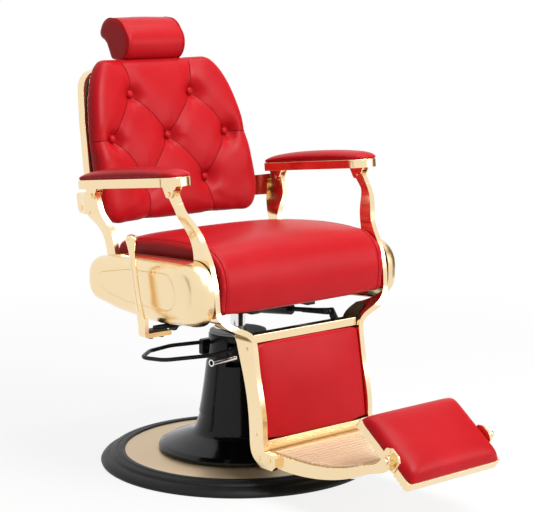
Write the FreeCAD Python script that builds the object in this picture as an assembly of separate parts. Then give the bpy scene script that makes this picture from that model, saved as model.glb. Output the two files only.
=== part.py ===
"""Hydraulic barber chair, built as separate pieces that meet at real joints.

All sizes are in millimetres. The frame has +Z up, its origin on the floor under the
swivel axis, the front of the chair towards -Y and the sitter's right hand towards -X.
The chair is drawn upright, at its lowest height, with the leg rest down.
"""
import FreeCAD
import Part
import math
import os

# Base
ring_radius = 350.0
ring_height = 33.0
ring_width = 62.0
ring_foot = 3.0
ring_floor_width = 48.0
plate_rim_gap = 12.0
plate_rim_height = 13.0
plate_skin = 5.0
plate_centre_height = 34.0
hub_radius = 60.0
hub_flange_radius = 84.0
hub_flange_thickness = 8.0
hub_top = 100.0
hub_bolt_circle = 72.0
hub_bolt_radius = 5.0
hub_bolt_count = 6
bearing_height = 6.0

# Pump, shroud and lift
piston_radius = 19.0
running_clearance = 0.05
pump_radius = 44.95
pump_floor = 30.0
pump_bottom = 14.0
pump_top = 330.0
lift_travel = 160.0
piston_top = 404.0
dome_radius = 203.0
dome_base = 36.0
dome_lip = 6.0
dome_skirt_radius = 190.0
dome_skirt = 49.5
neck_radius = 97.6
neck_base = 118.0
neck_top = 126.0
tower_waist_radius = 74.5
tower_waist = 285.0
tower_top_radius = 72.0
cover_wall = 3.0
panel_proud = 2.5
panel_half_angle = 49.0
cap_thickness = 5.0

# Pump lever
lever_shaft_x = -52.0
lever_shaft_z = 287.0
lever_shaft_radius = 8.0
lever_shaft_half = 66.0
lever_tube_radius = 5.0
lever_reach = -286.0
lever_near_y = -68.0
lever_far_y = 84.0
lever_clamp_width = 14.0
stub_radius = 9.0
stub_length = 84.0
window_low = 254.0
window_high = 314.0

# Seat
seat_half = 260.0
seat_front = -251.0
seat_back = 163.0
seat_front_drop = 12.0
seat_front_top = 579.0
seat_back_top = 562.0
seat_crown = 12.0
board_thickness = 12.0
frame_bar_height = 24.0
frame_bar_depth = 30.0
front_bar_y = -95.0
rear_bar_y = 85.0
long_bar_x = 90.0
long_bar_width = 26.0
mount_plate_thickness = 8.0
mount_collar_radius = 32.0
mount_collar_height = 24.0

# Linkage: each side is a parallelogram of two castings and an armrest
front_pivot_y = -185.0
front_pivot_z = 490.0
link_run = 313.0
link_rise = -33.5
front_arm_pin_y = -124.0
pivot_pin_radius = 8.0
pivot_boss_radius = 24.0
pivot_face_radius = 17.0
swing_radius = 84.0
casting_thickness = 14.0
casting_x = 270.5
side_plate_x = 281.0
side_plate_thickness = 6.0
pin_head_radius = 13.0
pin_head_height = 6.0
cover_inner_x = 280.0
cover_outer_x = 325.0
cover_round = 33.0
cover_emboss = 1.6
standoff_radius = 6.0

# Armrests
arm_x = 300.0
arm_half_width = 41.5
arm_front_y = -167.0
arm_rear_y = 206.0
arm_under_front_z = 738.5
arm_pin_drop = 23.0
trim_height = 22.0
pad_height = 24.0
arm_corner = 9.0
arm_pin_radius = 4.0
arm_tab_radius = 11.0
ear_thickness = 4.0
ear_side_gap = 0.7
open_pivot_gap = 0.6

# Back rest
back_half = 254.0
back_bottom = 598.0
back_top = 997.0
back_frame_drop = 6.0
back_frame_depth = 26.0
back_frame_wall = 5.0
back_board_thickness = 14.0
back_cushion_gap = 0.5
button_radius = 11.0
button_spacing_x = 97.6
button_side_x = 183.0
button_top_z = 913.5
button_mid_z = 806.0
button_low_z = 692.0
tuft_radius = 34.0
tuft_depth = 10.0
seam_depth = 2.2
seam_width = 3.0

# Headrest
head_half = 94.0
head_pivot_y = 431.0
head_pivot_z = 1019.0
head_post_width = 30.0
head_post_thickness = 6.0
head_post_length = 200.0
head_post_lean = 19.0
head_slide_clearance = 0.2
guide_length = 120.0
guide_width = 58.0
guide_wall = 6.0

# Leg rest
calf_top_y = -257.0
calf_top_z = 384.0
calf_bottom_y = -281.0
calf_bottom_z = 137.0
calf_bar_height = 20.0
calf_pad_thickness = 20.0
calf_board_thickness = 10.0
foot_ridge_height = 20.0
tread_start_y = -300.0
tread_end_y = -608.0
tread_thickness = 11.0
tread_rib_pitch = 17.0
tread_rib_width = 9.5
tread_rib_height = 3.0
glide_radius = 30.5
glide_height = 30.0
glide_x = 71.0
glide_y = -500.0
wall_thickness = 6.0

# Foot pad
pad_pivot_y = -695.0
pad_pivot_z = 175.5
pad_half = 147.0
pad_side_gap = 11.0
pad_long_side = 124.0
pad_short_side = 74.0
pad_slope = 36.4
pad_frame_height = 22.0
pad_cushion_height = 24.0
pad_pin_radius = 6.0
pad_bracket_thickness = 5.0
ball_radius = 9.5

# Recline control
lock_x = 120.0
lock_rod_end_y = -203.0
lock_rod_end_z = 397.0
lock_base_y = 110.0
lock_base_z = 361.0
lock_cylinder_radius = 15.0
lock_rod_radius = 6.0
lock_cylinder_length = 146.0
lock_neck = 30.0
lock_eye_radius = 11.0
lock_pin_radius = 5.0
handle_plane_x = 345.0
handle_shaft_y = -64.0
handle_shaft_z = 391.0
handle_shaft_radius = 6.0
handle_foot = 17.0
handle_top_y = -31.0
handle_top_z = 600.0
knob_radius = 14.5

rail_inner = pad_half + pad_side_gap + wall_thickness
rail_x = rail_inner + casting_thickness / 2

rear_pivot_y = front_pivot_y + link_run
rear_pivot_z = front_pivot_z + link_rise
front_arm_pin_z = arm_under_front_z - arm_pin_drop
rear_arm_pin_y = front_arm_pin_y + link_run
rear_arm_pin_z = front_arm_pin_z + link_rise
arm_slope = math.atan2(-link_rise, link_run)


def vec(x, y, z):
    return FreeCAD.Vector(x, y, z)


def mirrored(shape):
    """The same piece on the sitter's left side."""
    return shape.mirror(vec(0, 0, 0), vec(1, 0, 0))


def both_sides(shape):
    return Part.makeCompound([shape, mirrored(shape)])


def place(plane, u, v, offset):
    """A point of a flat drawing, put on the plane at its offset."""
    if plane == "yz":
        return vec(offset, u, v)
    if plane == "xz":
        return vec(u, offset, v)
    return vec(u, v, offset)


def rounded_wire(plane, offset, corners):
    """A closed wire through (u, v) or (u, v, radius) corners, each corner an arc."""
    count = len(corners)
    edges = []
    starts = []
    ends = []
    arcs = []
    for i in range(count):
        u, v = corners[i][0], corners[i][1]
        radius = corners[i][2] if len(corners[i]) > 2 else 0.0
        before = corners[i - 1]
        after = corners[(i + 1) % count]
        back = FreeCAD.Vector(before[0] - u, before[1] - v, 0)
        ahead = FreeCAD.Vector(after[0] - u, after[1] - v, 0)
        angle = back.getAngle(ahead)
        back.normalize()
        ahead.normalize()
        corner = FreeCAD.Vector(u, v, 0)
        if radius <= 0 or angle > math.pi - 0.01:
            starts.append(corner)
            ends.append(corner)
            arcs.append(None)
            continue
        reach = radius / math.tan(angle / 2)
        middle = back + ahead
        middle.normalize()
        centre = corner + middle * (radius / math.sin(angle / 2))
        starts.append(corner + back * reach)
        ends.append(corner + ahead * reach)
        arcs.append(centre - middle * radius)
    for i in range(count):
        if arcs[i] is not None:
            spots = [place(plane, p.x, p.y, offset) for p in (starts[i], arcs[i], ends[i])]
            edges.append(Part.Arc(*spots).toShape())
        first = ends[i]
        second = starts[(i + 1) % count]
        if first.distanceToPoint(second) > 1e-4:
            one = place(plane, first.x, first.y, offset)
            two = place(plane, second.x, second.y, offset)
            edges.append(Part.makeLine(one, two))
    return Part.Wire(edges)


def slab(plane, low, high, corners):
    """A flat drawing given thickness, from low to high across its plane."""
    face = Part.Face(rounded_wire(plane, low, corners))
    return face.extrude(place(plane, 0, 0, high - low))


def smooth_slab(plane, low, high, sides):
    """A prism whose outline is a list of curves, each a smooth line through its points."""
    edges = []
    for points in sides:
        spots = [place(plane, u, v, low) for u, v in points]
        if len(spots) == 2:
            edges.append(Part.makeLine(*spots))
        else:
            curve = Part.BSplineCurve()
            curve.interpolate(spots)
            edges.append(curve.toShape())
    face = Part.Face(Part.Wire(edges))
    return face.extrude(place(plane, 0, 0, high - low))


def band(plane, low, high, centre_line, thickness):
    """A strip of even thickness that follows a smooth centre line."""
    count = len(centre_line)
    one_side = []
    other_side = []
    for i in range(count):
        before = centre_line[max(i - 1, 0)]
        after = centre_line[min(i + 1, count - 1)]
        du = after[0] - before[0]
        dv = after[1] - before[1]
        size = math.hypot(du, dv)
        nu = -dv / size * thickness / 2
        nv = du / size * thickness / 2
        u, v = centre_line[i]
        one_side.append((u + nu, v + nv))
        other_side.append((u - nu, v - nv))
    other_side.reverse()
    sides = [one_side, [one_side[-1], other_side[0]], other_side, [other_side[-1], one_side[0]]]
    return smooth_slab(plane, low, high, sides)


def turned(profile):
    """A solid of revolution about the swivel axis from (radius, z) corners."""
    face = Part.Face(rounded_wire("xz", 0, profile))
    return face.revolve(vec(0, 0, 0), vec(0, 0, 1), 360)


def rod(start, end, radius):
    way = end - start
    return Part.makeCylinder(radius, way.Length, start, way)


def tube(start, end, radius, bore):
    return rod(start, end, radius).cut(rod(start, end, bore))


def pin_x(y, z, x_low, x_high, radius):
    """A round bar along X."""
    return rod(vec(x_low, y, z), vec(x_high, y, z), radius)


def box(x_low, x_high, y_low, y_high, z_low, z_high):
    return Part.makeBox(x_high - x_low, y_high - y_low, z_high - z_low, vec(x_low, y_low, z_low))


def loft(wires):
    return Part.makeLoft(wires, True, False)


def tilted(shape, y, z, degrees):
    """A shape turned about an X axis through (y, z)."""
    copy = shape.copy()
    copy.rotate(vec(0, y, z), vec(1, 0, 0), degrees)
    return copy


def fuse_all(shapes):
    whole = shapes[0]
    for shape in shapes[1:]:
        whole = whole.fuse(shape)
    return whole.removeSplitter()


def screw(centre, way, head_radius, head_height, shank_radius, shank_length):
    """A round-headed screw: the head stands along way, the shank goes the other way."""
    head = rod(centre, centre + way * head_height, head_radius)
    shank = rod(centre - way * shank_length, centre, shank_radius)
    return head.fuse(shank).removeSplitter()


# Base: a rubber ring grips the rim of a plated pan, and a bolted hub stands on the pan.

plate_rim = ring_radius - plate_rim_gap
ring_inner = ring_radius - ring_width


def base_plate():
    inner = ring_inner
    skin = plate_skin
    low = ring_foot
    return turned([
        (hub_radius, low), (plate_rim, low), (plate_rim, low + plate_rim_height, 3),
        (inner + 12, 27, 20), (inner, 29, 30), (200, 31.5, 60),
        (hub_flange_radius, plate_centre_height), (hub_radius, plate_centre_height),
    ]).cut(turned([
        (hub_flange_radius + 6, low - 1), (plate_rim - 40, low - 1), (plate_rim - 52, 28 - skin, 12),
        (200, 31 - skin, 40), (hub_flange_radius + 10, plate_centre_height - skin - 1, 6),
    ]))


def rubber_ring():
    inner = ring_inner
    outer = ring_radius
    ring = turned([
        (outer - ring_floor_width, 0), (outer - 5, 0, 3), (outer, 4, 3), (outer, 11, 5),
        (outer - 10, 21, 14), (inner + 14, ring_height - 2, 30), (inner + 4, ring_height, 2.5),
        (inner, ring_height - 2, 1.5), (inner, 22), (outer - ring_floor_width, 10),
    ])
    ring = ring.cut(base_plate())
    solids = sorted(ring.Solids, key=lambda piece: piece.Volume)
    ring = solids[-1]
    for radius, height in ((outer - 6.5, 18.3), (outer - 14, 24.0), (outer - 24, 27.2)):
        ring = ring.cut(Part.makeTorus(radius, 1.4, vec(0, 0, height)))
    return ring


def base_hub():
    flange_low = plate_centre_height
    flange_high = flange_low + hub_flange_thickness
    hub = turned([
        (pump_radius + running_clearance, ring_foot + 3), (hub_radius, ring_foot + 3),
        (hub_radius, flange_low), (hub_flange_radius, flange_low), (hub_flange_radius, flange_high, 2),
        (hub_radius, flange_high, 4), (hub_radius, hub_top), (pump_radius + running_clearance, hub_top),
    ])
    for spot in hub_bolt_spots():
        hub = hub.cut(rod(spot - vec(0, 0, 30), spot + vec(0, 0, 30), hub_bolt_radius))
    return hub


def hub_bolt_spots():
    top = plate_centre_height + hub_flange_thickness
    spots = []
    for i in range(hub_bolt_count):
        angle = 2 * math.pi * i / hub_bolt_count
        spots.append(vec(hub_bolt_circle * math.cos(angle), hub_bolt_circle * math.sin(angle), top))
    return spots


def hub_bolts():
    up = vec(0, 0, 1)
    return Part.makeCompound([
        screw(spot, up, hub_bolt_radius * 1.8, 6, hub_bolt_radius, 16) for spot in hub_bolt_spots()
    ])


def plate_with_bolt_holes():
    plate = base_plate()
    for spot in hub_bolt_spots():
        plate = plate.cut(rod(spot - vec(0, 0, 16), spot, hub_bolt_radius))
    return plate


def swivel_bearing():
    low = hub_top
    return turned([
        (pump_radius + 0.5, low), (hub_radius - 1, low), (hub_radius - 1, low + bearing_height),
        (pump_radius + 0.5, low + bearing_height),
    ])


# Pump unit: turns in the hub and carries the shroud, the lever and the piston.

def pump_cylinder():
    bore = piston_radius + running_clearance
    seat = hub_top + bearing_height
    return turned([
        (0, pump_floor - pump_bottom + 6), (pump_radius, pump_floor - pump_bottom + 6),
        (pump_radius, seat), (hub_radius - 1, seat), (hub_radius - 1, neck_base),
        (neck_radius - cover_wall, neck_base), (neck_radius - cover_wall, neck_base + 6),
        (pump_radius, neck_base + 6), (pump_radius, pump_top), (bore, pump_top),
        (bore, pump_floor + pump_bottom), (0, pump_floor + pump_bottom),
    ])


def pump_with_lugs():
    """The pump cylinder with the two lugs that carry the lever's shaft."""
    pump = pump_cylinder()
    for side in (-1, 1):
        y_one = side * 22.0
        y_two = side * 32.0
        lug = slab("xz", min(y_one, y_two), max(y_one, y_two), [
            (lever_shaft_x - 11.5, lever_shaft_z + 14, 13), (lever_shaft_x - 11.5, lever_shaft_z - 14, 13),
            (-34, lever_shaft_z - 32), (-34, lever_shaft_z + 15),
        ])
        pump = pump.fuse(lug.cut(rod(vec(0, 0, lever_shaft_z - 60), vec(0, 0, lever_shaft_z + 60), 40)))
    shaft_hole = rod(vec(lever_shaft_x, -60, lever_shaft_z), vec(lever_shaft_x, 60, lever_shaft_z),
                     lever_shaft_radius + running_clearance)
    return pump.cut(shaft_hole).removeSplitter()


def dome_wall(inset):
    lip_top = dome_base + dome_lip
    return [
        (dome_radius - inset, dome_base), (dome_radius - inset, lip_top - inset, 2.5),
        (dome_skirt_radius - 0.5 * inset, dome_skirt - inset, 12), (140 - 0.6 * inset, 68 - inset, 80),
        (112 - 0.8 * inset, 79 - inset, 26), (101 - inset, 112 - inset, 60), (neck_radius - inset, neck_top),
    ]


def dome_cover():
    outer = turned(dome_wall(0) + [(40, neck_top), (40, dome_base)])
    inner = turned(dome_wall(cover_wall) + [(30, neck_top), (30, dome_base)])
    middle = Part.makeCylinder(50, 200, vec(0, 0, 0))
    return outer.cut(inner).cut(middle)


def tower_profile(grow):
    return [
        (neck_radius + grow, neck_top), (92.5 + grow, 153, 80), (86 + grow, 196, 200),
        (tower_waist_radius + grow, tower_waist, 200),
        (tower_top_radius + grow, pump_top),
    ]


def tower_shell(grow, wall):
    outer = tower_profile(grow)
    inner = tower_profile(grow - wall)
    inner.reverse()
    return turned(outer + inner)


def lever_window():
    """The two openings beside the lever shaft, where the lever's arms and clamps swing."""
    near = box(-112, -34, -110, -37, window_low, window_high)
    far = box(-112, -34, 37, 110, window_low, window_high)
    return near.fuse(far)


def tower_cover():
    return tower_shell(0, cover_wall).cut(lever_window())


def tower_side_panel():
    """A raised panel on the lever's side of the tower."""
    shell = tower_shell(panel_proud, panel_proud)
    reach = 200.0
    half = math.radians(panel_half_angle)
    wedge = slab("xy", neck_top, pump_top - 3, [
        (0, 0), (-reach * math.cos(half), -reach * math.sin(half)),
        (-2 * reach, 0), (-reach * math.cos(half), reach * math.sin(half)),
    ])
    return shell.common(wedge).cut(lever_window())


def tower_cap():
    return turned([
        (piston_radius + 4, pump_top), (tower_top_radius, pump_top),
        (tower_top_radius, pump_top + cap_thickness, 1.5), (piston_radius + 4, pump_top + cap_thickness, 1.5),
    ])


# Pump lever: a bent tube clamped to a cross shaft.

lever_loop_z = lever_shaft_z + lever_shaft_radius + lever_tube_radius


def lever_shaft():
    """The cross shaft that turns in the pump's lugs."""
    z = lever_shaft_z
    return rod(vec(lever_shaft_x, -lever_shaft_half, z), vec(lever_shaft_x, lever_shaft_half, z),
               lever_shaft_radius)


def lever_yoke():
    """The shaft with a block at each end, bored for the bent tube and the stub."""
    half = lever_clamp_width / 2
    clamps = [lever_shaft()]
    for side in (-1, 1):
        centre = side * (lever_shaft_half - half)
        block = slab("xz", centre - half, centre + half, [
            (lever_shaft_x - 22, lever_loop_z + 9, 6), (lever_shaft_x - 22, lever_shaft_z - 18, 6),
            (lever_shaft_x + 12, lever_shaft_z - 16, 9), (lever_shaft_x + 12, lever_loop_z + 9, 6),
        ])
        clamps.append(block)
    return fuse_all(clamps).cut(pump_lever()).cut(lever_stub())


def lever_route():
    """The centre line of the bent tube: two arms and the loop between them."""
    z = lever_loop_z
    near_end = vec(lever_shaft_x + 8, -lever_shaft_half + lever_clamp_width / 2, z)
    near_bend = vec(-150, lever_near_y, z)
    near_tip = vec(-262, -36, z)
    tip = vec(lever_reach, 22, z)
    far_tip = vec(-228, 68, z)
    far_bend = vec(-150, lever_far_y, z)
    far_end = vec(lever_shaft_x + 8, lever_shaft_half - lever_clamp_width / 2, z)
    return [near_end, near_bend, near_tip, tip, far_tip, far_bend, far_end], (60, 34, 26, 34, 60)


def rounded_path(points, radii):
    """Straight runs joined by tangent arcs."""
    edges = []
    last = points[0]
    for i in range(1, len(points) - 1):
        corner = points[i]
        back = (points[i - 1] - corner).normalize()
        ahead = (points[i + 1] - corner).normalize()
        angle = back.getAngle(ahead)
        reach = radii[i - 1] / math.tan(angle / 2)
        middle = (back + ahead).normalize()
        start = corner + back * reach
        end = corner + ahead * reach
        crest = corner + middle * (radii[i - 1] / math.sin(angle / 2) - radii[i - 1])
        edges.append(Part.makeLine(last, start))
        edges.append(Part.Arc(start, crest, end).toShape())
        last = end
    edges.append(Part.makeLine(last, points[-1]))
    return Part.Wire(edges)


def bent_bar(points, radii, radius):
    path = rounded_path(points, radii)
    section = Part.Wire(Part.makeCircle(radius, points[0], points[1] - points[0]))
    return path.makePipeShell([section], True, False)


def pump_lever():
    points, radii = lever_route()
    return bent_bar(points, radii, lever_tube_radius)


def lever_stub():
    """The hollow chrome stub that stands out of the shroud beside the bent tube."""
    z = lever_shaft_z - 6
    start = vec(lever_shaft_x - 9, -lever_shaft_half + lever_clamp_width / 2, z)
    way = vec(-0.99, -0.14, 0).normalize()
    return tube(start, start + way * stub_length, stub_radius, stub_radius - 3.5)


# Lift: piston, mount, seat frame and the seat itself.

def piston():
    return rod(vec(0, 0, pump_floor + pump_bottom + 6), vec(0, 0, piston_top + mount_plate_thickness),
               piston_radius)


def seat_mount():
    top = piston_top + mount_plate_thickness
    half = long_bar_x + long_bar_width / 2
    plate = slab("xy", piston_top, top, [
        (-half, -100, 14), (half, -100, 14), (half, 100, 14), (-half, 100, 14),
    ])
    collar = Part.makeCylinder(mount_collar_radius, mount_collar_height,
                               vec(0, 0, piston_top - mount_collar_height))
    mount = plate.fuse(collar)
    for side in (-1, 1):
        mount = mount.fuse(slab("xz", side * 3 - 3, side * 3 + 3, [
            (-95, piston_top), (-30, piston_top), (-30, piston_top - 20),
        ]))
        mount = mount.fuse(slab("xz", side * 3 - 3, side * 3 + 3, [
            (95, piston_top), (30, piston_top), (30, piston_top - 20),
        ]))
    return mount.cut(piston()).removeSplitter()


frame_low = piston_top + mount_plate_thickness
frame_high = frame_low + frame_bar_height
board_top = frame_high + board_thickness


def seat_frame():
    half_depth = frame_bar_depth / 2
    bars = []
    for y in (front_bar_y, rear_bar_y):
        bars.append(box(-side_plate_x, side_plate_x, y - half_depth, y + half_depth, frame_low, frame_high))
    for side in (-1, 1):
        x = side * long_bar_x
        half = long_bar_width / 2
        bars.append(box(x - half, x + half, front_bar_y - 80, rear_bar_y + 45, frame_low, frame_high))
    frame = fuse_all(bars)
    for side in (-1, 1):
        frame = frame.cut(cover_passage(side))
    return fuse_all([frame, handle_hangers(), lock_bracket()])


def cover_passage(side):
    """The room that a side cover's lower wall takes at the ends of the frame's bars."""
    inner, outer = sorted((side * (cover_inner_x - 0.3), side * (side_plate_x + 1)))
    ring = slab("yz", inner, outer,
                cover_outline(-1)).cut(slab("yz", inner, outer, cover_outline(cover_wall + 0.3)))
    return ring


def handle_hangers():
    """Two hangers under the front bar, bored for the recline handle's shaft."""
    hangers = []
    for x in (-262.0, -166.0):
        hanger = slab("yz", x, x + 6, [
            (front_bar_y - 12, frame_low), (front_bar_y + 15, frame_low),
            (handle_shaft_y + 14, frame_low - 6, 6),
            (handle_shaft_y + 13, handle_shaft_z - 12, 10), (handle_shaft_y - 13, handle_shaft_z - 12, 10),
        ])
        hangers.append(hanger)
    hole = pin_x(handle_shaft_y, handle_shaft_z, -300, -100, handle_shaft_radius + running_clearance)
    return hangers[0].fuse(hangers[1]).cut(hole)


def lock_bracket():
    """A fork under the rear bar that holds the foot of the recline lock."""
    ears = []
    for x in (lock_x - 15, lock_x + 9):
        ears.append(slab("yz", x, x + 6, [
            (rear_bar_y - 1, frame_low), (rear_bar_y + 15, frame_low), (lock_base_y + 13, lock_base_z + 4, 8),
            (lock_base_y + 12, lock_base_z - 12, 10), (lock_base_y - 11, lock_base_z - 12, 10),
            (lock_base_y - 11, lock_base_z + 16, 6),
        ]))
    return fuse_all(ears + [pin_x(lock_base_y, lock_base_z, lock_x - 18, lock_x + 18, lock_pin_radius)])


def seat_board():
    return slab("xy", frame_high, board_top, [
        (-238, -205, 20), (238, -205, 20), (238, 145, 30), (-238, 145, 30),
    ])


def seat_wire(x, share):
    """The side view of the seat cushion at one place across it. share is 1 in the middle."""
    drop = seat_front_drop * share
    crown = seat_crown * share
    inset = (1 - share) * 7
    y_front = seat_front - 8 * (1 - share)
    low = board_top - 2 - drop
    return Part.Wire([
        Part.Arc(vec(x, y_front + 16, low), vec(x, y_front + 5, low + 5),
                 vec(x, y_front + inset, low + 22)).toShape(),
        Part.Arc(vec(x, y_front + inset, low + 22), vec(x, y_front - 6 + inset, low + 68),
                 vec(x, y_front + 6 + inset, low + 108)).toShape(),
        Part.Arc(vec(x, y_front + 6 + inset, low + 108),
                 vec(x, y_front + 24 + inset, seat_front_top - 14 + crown / 2 - inset),
                 vec(x, y_front + 62, seat_front_top + crown - inset)).toShape(),
        Part.Arc(vec(x, y_front + 62, seat_front_top + crown - inset),
                 vec(x, -20, seat_front_top + crown + 3 - inset),
                 vec(x, seat_back - 18, seat_back_top + crown - inset)).toShape(),
        Part.Arc(vec(x, seat_back - 18, seat_back_top + crown - inset),
                 vec(x, seat_back - 5 - inset, seat_back_top - 9 + crown / 2 - inset),
                 vec(x, seat_back - inset, seat_back_top - 30)).toShape(),
        Part.Arc(vec(x, seat_back - inset, seat_back_top - 30),
                 vec(x, seat_back + 2 - inset, seat_back_top - 60),
                 vec(x, seat_back - 4 - inset, board_top + 12)).toShape(),
        Part.makeLine(vec(x, seat_back - 4 - inset, board_top + 12), vec(x, seat_back - 14, board_top)),
        Part.makeLine(vec(x, seat_back - 14, board_top), vec(x, -206, board_top)),
        Part.makeLine(vec(x, -206, board_top), vec(x, -206, low)),
        Part.makeLine(vec(x, -206, low), vec(x, y_front + 16, low)),
    ])


def seat_cushion():
    wires = []
    for x, share in across(seat_half):
        wires.append(seat_wire(x, share))
    return loft(wires)


def across(half):
    """Places across a cushion, with the share of its crown at each: flat, then round at the sides."""
    steps = 10
    places = []
    for i in range(steps + 1):
        angle = math.pi * (i / steps - 0.5)
        sine = math.sin(angle)
        x = half * math.copysign(abs(sine) ** 0.75, sine)
        places.append((x, max(math.cos(angle), 0.0) ** 0.75))
    return places


# Side plates, pivots and covers.

def side_plate():
    """The steel plate outside each pair of castings; it carries both pivots."""
    inner = -side_plate_x
    outer = inner - side_plate_thickness
    plate = slab("yz", outer, inner, [
        (front_pivot_y - 34, front_pivot_z + 26, 24), (front_pivot_y + 30, front_pivot_z + 26, 24),
        (-90, 474, 30), (90, 466, 40), (rear_pivot_y - 24, rear_pivot_z + 26, 16),
        (rear_pivot_y + 28, rear_pivot_z + 24, 18), (rear_pivot_y + 28, rear_pivot_z - 24, 18),
        (rear_bar_y + 15, frame_low, 20), (front_bar_y - 15, frame_low, 30),
        (front_pivot_y - 34, front_pivot_z - 36, 26),
    ])
    plate = plate.common(slab("yz", outer, inner, cover_outline(cover_wall + 0.5)))
    for y, z in ((-120, 455), (0, 440), (80, 448)):
        plate = plate.fuse(pin_x(y, z, outer, -cover_outer_x + cover_wall, standoff_radius))
    for y, z in pivot_spots():
        plate = plate.fuse(pin_x(y, z, inner, -casting_x - casting_thickness / 2, pivot_face_radius))
    for y, z in pivot_spots():
        plate = plate.cut(pin_x(y, z, outer - 1, -casting_x, pivot_pin_radius))
    return plate.removeSplitter()


def pivot_spots():
    return [(front_pivot_y, front_pivot_z), (rear_pivot_y, rear_pivot_z)]


def pivot_pins():
    """Shoulder pins: the head seats on the side plate and the pin runs through the casting."""
    pins = []
    outer = -side_plate_x - side_plate_thickness
    for y, z in pivot_spots():
        pin = pin_x(y, z, outer, -casting_x + casting_thickness / 2 - 0.5, pivot_pin_radius)
        head = pin_x(y, z, outer - pin_head_height, outer, pin_head_radius)
        pins.append(pin.fuse(head).removeSplitter())
    return Part.makeCompound(pins + [mirrored(pin) for pin in pins])


def cover_outline(inset):
    """The side view of the long rounded cover."""
    return [
        (-170 + inset * 0.3, 563 - inset, 200), (-256 + inset, 567 - inset, 68 - inset * 0.7),
        (-251 + inset, 414 + inset, 60 - inset * 0.7), (-60, 400 + inset, 400), (90, 410 + inset, 400),
        (209 - inset, 430 + inset, 46 - inset * 0.5), (206 - inset, 528 - inset, 46 - inset * 0.5),
        (60, 553 - inset, 300),
    ]


def cover_block(inset, outer_x, rounding):
    block = slab("yz", -cover_inner_x, -outer_x, cover_outline(inset))
    face_edges = [edge for edge in block.Edges if edge.BoundBox.XMax < -outer_x + 0.01]
    return block.makeFillet(rounding, face_edges)


def side_cover():
    outer = cover_block(0, cover_outer_x, cover_round)
    inner = cover_block(cover_wall, cover_outer_x - cover_wall, cover_round - cover_wall)
    shell = outer.cut(inner)
    return shell.fuse(cover_panel()).removeSplitter()


def cover_panel():
    """The low raised field on a cover's outer face, with sloping edges."""
    corners = [
        (136, 502, 14), (20, 523, 200), (-165, 533, 43), (-165, 441, 43), (20, 443, 200), (100, 453, 60),
        (136, 470, 20),
    ]
    centre_y = -40.0
    centre_z = 488.0
    wires = []
    for x, shrink in ((-cover_outer_x + 2.2, 1.0), (-cover_outer_x - cover_emboss, 0.97)):
        spots = [(centre_y + (y - centre_y) * shrink, centre_z + (z - centre_z) * shrink, radius * shrink)
                 for y, z, radius in corners]
        wires.append(rounded_wire("yz", x, spots))
    return loft(wires)


# Castings.

def front_casting():
    """Upright, pivot belly, inward bend and calf rail in one piece."""
    front_edge = [
        (-140, 720), (-151, 703), (-164, 682), (-180, 658), (-194, 633), (-205, 606), (-216, 585),
        (-229, 562), (-240, 535), (-248, 505), (-252, 470), (-255, 442), (-262, 422), (-267, 402),
        (-267, 384),
        (-272, 340), (-281, 285), (-294, 232), (-304, 150),
    ]
    rear_edge = [
        (-280, 85), (-262, 104), (-256, 140), (-246, 232), (-228, 300), (-213, 345), (-206, 375), (-205, 398),
        (-200, 425), (-184, 446), (-158, 466), (-150, 490), (-158, 520), (-170, 550), (-171, 578),
        (-165, 605), (-156, 632), (-147, 658), (-138, 682), (-124, 704),
    ]
    toe = [(-304, 150), (-309, 114), (-340, 112), (-347, 106), (-346, 84), (-336, 74), (-296, 74), (-280, 85)]
    toe_sides = [[toe[i], toe[i + 1]] for i in range(len(toe) - 1)]
    profile = smooth_slab("yz", -320, -120,
                          [front_edge] + toe_sides + [rear_edge, [rear_edge[-1], front_edge[0]]])
    strip = band("xz", -380, -80, [
        (-arm_x, 740), (-arm_x, 710), (-arm_x, 688), (-297, 671), (-290, 655), (-281, 636), (-274, 616),
        (-casting_x, 592),
        (-casting_x, 520), (-casting_x, 465), (-267, 440), (-250, 419), (-222, 403), (-194, 391),
        (-rail_x - 4, 374), (-rail_x, 350), (-rail_x, 336),
    ], casting_thickness)
    rail = box(-rail_x - casting_thickness / 2, -rail_inner, -380, -80, 60, 336)
    casting = profile.common(strip).fuse(profile.common(rail))
    boss = pin_x(front_pivot_y, front_pivot_z, -casting_x - casting_thickness / 2,
                 -casting_x + casting_thickness / 2, pivot_boss_radius)
    tab = arm_tab(front_arm_pin_y, front_arm_pin_z, (-137, 684), (-156, 696))
    casting = fuse_all([casting, boss, tab])
    outer = -casting_x - casting_thickness / 2
    casting = casting.cut(pin_x(front_pivot_y, front_pivot_z, outer - 5, outer, pivot_boss_radius))
    casting = casting.cut(pin_x(front_pivot_y, front_pivot_z, -seat_half - 2, -140, swing_radius))
    casting = casting.cut(pin_x(front_pivot_y, front_pivot_z, -300, -240,
                                pivot_pin_radius + running_clearance))
    casting = casting.cut(calf_board())
    return casting.cut(pin_x(front_arm_pin_y, front_arm_pin_z, -340, -260, arm_pin_radius + open_pivot_gap))


def arm_tab(y, z, rear_root, front_root):
    """The rounded tongue that enters an armrest's fork."""
    half = casting_thickness / 2
    disc = pin_x(y, z, -arm_x - half, -arm_x + half, arm_tab_radius)
    root = slab("yz", -arm_x - half, -arm_x + half, [
        (y - arm_tab_radius * 0.6, z + arm_tab_radius * 0.8), front_root, rear_root,
        (y + arm_tab_radius * 0.95, z - arm_tab_radius * 0.3),
    ])
    return disc.fuse(root)


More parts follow.
